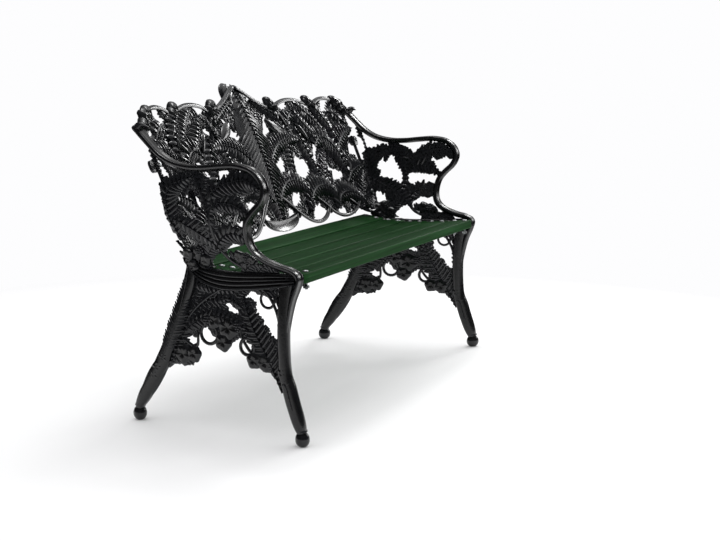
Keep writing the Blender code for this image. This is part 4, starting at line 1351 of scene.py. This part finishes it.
def standing(axis, origin):
    turn = axis.to_track_quat("Z", "Y").to_matrix().to_4x4()
    return Matrix.Translation(origin) @ turn


bolt_nodes = sorted(name for name in frame["nodes"] if name.endswith("_bolt"))
axes = {}
for node in bolt_nodes:
    top, tail, axis = bolt_axis(node)
    axes[node[:-5]] = (top, axis)
    length = (top - tail).length
    profile = [
        (SHANK_RADIUS, -length),
        (SHANK_RADIUS, -HEAD_HEIGHT - 0.2 * MM),
        (HEAD_RADIUS - 0.3 * MM, -HEAD_HEIGHT),
    ]
    for step in range(7):
        angle = math.pi / 2 * step / 7
        profile.append((HEAD_RADIUS * math.cos(angle), HEAD_HEIGHT * (math.sin(angle) - 1)))
    lathe(f"{node}_turned", standing(axis, top), profile, node)

NUT_HALF = 6.5 * MM
NUT_HEIGHT = 6.5 * MM
for node in sorted(name for name in frame["nodes"] if name.endswith("_nut")):
    top, axis = axes[node[:-4]]
    middle = Vector(np.mean([tuple(corner) for corner in corners_of(node)], axis=0))
    mould = Mould()
    rings = []
    place = standing(axis, middle)
    inner = place.inverted()
    far = max((inner @ corner for corner in corners_of(node)), key=lambda corner: corner.x**2 + corner.y**2)
    heading = math.atan2(far.y, far.x) - math.pi / 4
    for share, height in ((0.93, -1.0), (1.0, -0.8), (1.0, 0.8), (0.93, 1.0)):
        ring = []
        for u, v in rounded_rectangle(NUT_HALF * share, NUT_HALF * share, 0.8 * MM, 2):
            x = u * math.cos(heading) - v * math.sin(heading)
            y = u * math.sin(heading) + v * math.cos(heading)
            ring.append(place @ Vector((x, y, height * NUT_HEIGHT / 2)))
        rings.append(ring)
    mould.skin(rings)
    mould.cast(f"{node}_square", Vector, steel, node, crease=30)

# %% [markdown]
# ## Ledges and ears
#
# Two plain parts of each end casting do the joining. A ledge under the boards takes their bolts, and two
# rounded ears behind the back take the back's bolts. They are hardly seen, so they stay plain, with
# softened edges. The ledge follows the boards' undersides, which we read from the frame, and each ear is
# found from its nut.

# %% Ledges and ears
LEDGE_REACH = 62 * MM
LEDGE_THICKNESS = 9 * MM
LEDGE_SET_BACK = 26 * MM
LEDGE_OVERHANG = 4 * MM
EAR_SIDE = 34 * MM
EAR_OUTER = 30 * MM
EAR_THICKNESS = 8 * MM
EAR_CORNER = 11 * MM
TOUCHING_GAP = 0.3 * MM
SOFT_EDGE = 1.2 * MM

under = []
for number in (1, 2, 3, 4, 5):
    middle, up, rear = board_frame(f"seat_board_{number}")
    spread = [corner - middle for corner in corners_of(f"seat_board_{number}")]
    half_width = max(corner.dot(rear) for corner in spread) + LEDGE_OVERHANG
    bottom = middle + up * (min(corner.dot(up) for corner in spread) - TOUCHING_GAP)
    under += [bottom - rear * half_width, bottom + rear * half_width]
under[0] += (under[1] - under[0]).normalized() * LEDGE_SET_BACK
under[-1] += (under[-2] - under[-1]).normalized() * LEDGE_SET_BACK
upper = [(point.y - SHIFT, point.z) for point in under]
lower = [(y, z - LEDGE_THICKNESS) for y, z in reversed(upper)]
for side, place in (("left", place_left_end), ("right", place_right_end)):
    mould = Mould()
    rings = []
    for outwards, drop in ((-LEDGE_REACH, SOFT_EDGE), (SOFT_EDGE - LEDGE_REACH, 0.0), (0.0, 0.0)):
        ring = [Vector((y, z - drop, outwards)) for y, z in upper]
        rings.append(ring + [Vector((y, z + drop, outwards)) for y, z in lower])
    mould.skin(rings)
    mould.cast(f"{side}_end_ledge", place, iron, crease=30)


def make_ear(mould, nut, axis, outer):
    """A rounded ear in front of a nut; it runs outwards into the end casting."""
    sideways = Vector((-axis.y, axis.x, 0.0)).normalized()
    upwards = axis.cross(sideways)
    back_face = nut + axis * (NUT_HEIGHT / 2 + TOUCHING_GAP)
    rings = []
    levels = (
        (SOFT_EDGE, 0.0), (0.0, SOFT_EDGE), (0.0, EAR_THICKNESS - SOFT_EDGE), (SOFT_EDGE, EAR_THICKNESS),
    )
    for inset, level in levels:
        ring = []
        half_width = (EAR_OUTER + EAR_SIDE / 2) / 2
        middle = outer * (EAR_OUTER - EAR_SIDE / 2) / 2
        for u, v in rounded_rectangle(half_width - inset, EAR_SIDE / 2 - inset, EAR_CORNER, 5):
            ring.append(back_face + sideways * (middle + u) + upwards * v + axis * level)
        rings.append(ring)
    mould.skin(rings)


for side, outer in (("left", -1), ("right", 1)):
    mould = Mould()
    for number in (1, 2):
        name = f"back_{side}_{number}"
        nut = Vector(np.mean([tuple(corner) for corner in corners_of(f"{name}_nut")], axis=0))
        make_ear(mould, nut, axes[name][1], outer)
    mould.cast(f"{side}_end_ears", Vector, iron, crease=30)

# %% [markdown]
# ## Floor and light
#
# Black gloss paint shows what it reflects, so the studio matters as much as the paint. Wide soft light
# comes from above, two boxes stand beyond the far end, a small one hangs over the seat, and the side behind
# the camera is kept dim. The floor is a pale disc that fades out where the bright surroundings begin, so no
# horizon shows.

# %% Floor
FLOOR_RADIUS = 5.0
FLOOR_FADE = (1.35, 2.3)

floor_mesh = bpy.data.meshes.new("floor")
work = bmesh.new()
bmesh.ops.create_circle(work, cap_ends=True, segments=96, radius=FLOOR_RADIUS)
work.to_mesh(floor_mesh)
work.free()
floor = bpy.data.objects.new("floor", floor_mesh)
scene.collection.objects.link(floor)

floor_paint, tree, shader = new_material("matt_painted_floor")
where = add_node(tree, "ShaderNodeTexCoord").outputs["Object"]
distance = add_node(tree, "ShaderNodeVectorMath", {"operation": "LENGTH"}, {0: where})
fade = add_node(
    tree,
    "ShaderNodeMapRange",
    {"interpolation_type": "SMOOTHSTEP", "From Min": FLOOR_FADE[0], "From Max": FLOOR_FADE[1]},
    {"Value": distance.outputs["Value"]},
)
clear = add_node(tree, "ShaderNodeBsdfTransparent")
shader.inputs["Base Color"].default_value = linear("#f4f4f4")
shader.inputs["Roughness"].default_value = 0.9
mixed = add_node(
    tree,
    "ShaderNodeMixShader",
    links={0: fade.outputs["Result"], 1: shader.outputs["BSDF"], 2: clear.outputs["BSDF"]},
)
tree.links.new(mixed.outputs["Shader"], tree.nodes["Material Output"].inputs["Surface"])
floor_mesh.materials.append(floor_paint)


# %% Lights
def soft_box(name, place, aim, width, height, power):
    data = bpy.data.lights.new(name, "AREA")
    data.shape = "RECTANGLE"
    data.size = width
    data.size_y = height
    data.energy = power
    box = bpy.data.objects.new(name, data)
    scene.collection.objects.link(box)
    box.location = place
    box.rotation_euler = (Vector(aim) - Vector(place)).to_track_quat("-Z", "Y").to_euler()


SKY_ANGLE = math.radians(64)
SKY_STRENGTH = 0.72
SKY_FROM = Vector((0.60, -0.02, 1.0))
FILL_STRENGTH = 0.98

sky = bpy.data.lights.new("great_soft_box", "SUN")
sky.angle = SKY_ANGLE
sky.energy = SKY_STRENGTH
sky_light = bpy.data.objects.new("great_soft_box", sky)
scene.collection.objects.link(sky_light)
sky_light.rotation_euler = SKY_FROM.to_track_quat("Z", "Y").to_euler()
soft_box("far_front_box", (3.6, -1.9, 1.5), (0.0, 0.1, 0.65), 1.6, 1.1, 34)
soft_box("small_top_box", (0.5, 0.1, 2.6), (0.0, 0.0, 0.4), 0.42, 0.42, 10)
soft_box("far_top_box", (3.8, -0.3, 2.3), (0.0, 0.0, 0.65), 0.9, 0.6, 30)

world = bpy.data.worlds.new("studio")
scene.world = world
world.use_nodes = True
tree = world.node_tree
backdrop = tree.nodes["Background"]
direction = add_node(tree, "ShaderNodeTexCoord").outputs["Generated"]
parts = add_node(tree, "ShaderNodeSeparateXYZ", links={0: direction})
strength = add_node(
    tree,
    "ShaderNodeMapRange",
    {"From Min": 0.0, "From Max": 0.9, "To Min": 0.008, "To Max": 0.10},
    {"Value": parts.outputs["Z"]},
)
rays = add_node(tree, "ShaderNodeLightPath").outputs
lit = add_node(
    tree,
    "ShaderNodeMix",
    {"data_type": "FLOAT", "B": FILL_STRENGTH},
    {"Factor": rays["Is Diffuse Ray"], "A": strength.outputs["Result"]},
)
shown = add_node(
    tree,
    "ShaderNodeMix",
    {"data_type": "FLOAT", "B": 1.0},
    {"Factor": rays["Is Camera Ray"], "A": lit.outputs["Result"]},
)
tree.links.new(shown.outputs["Result"], backdrop.inputs["Strength"])
backdrop.inputs["Color"].default_value = linear("#fdfdfe")
scene.view_settings.view_transform = "Standard"
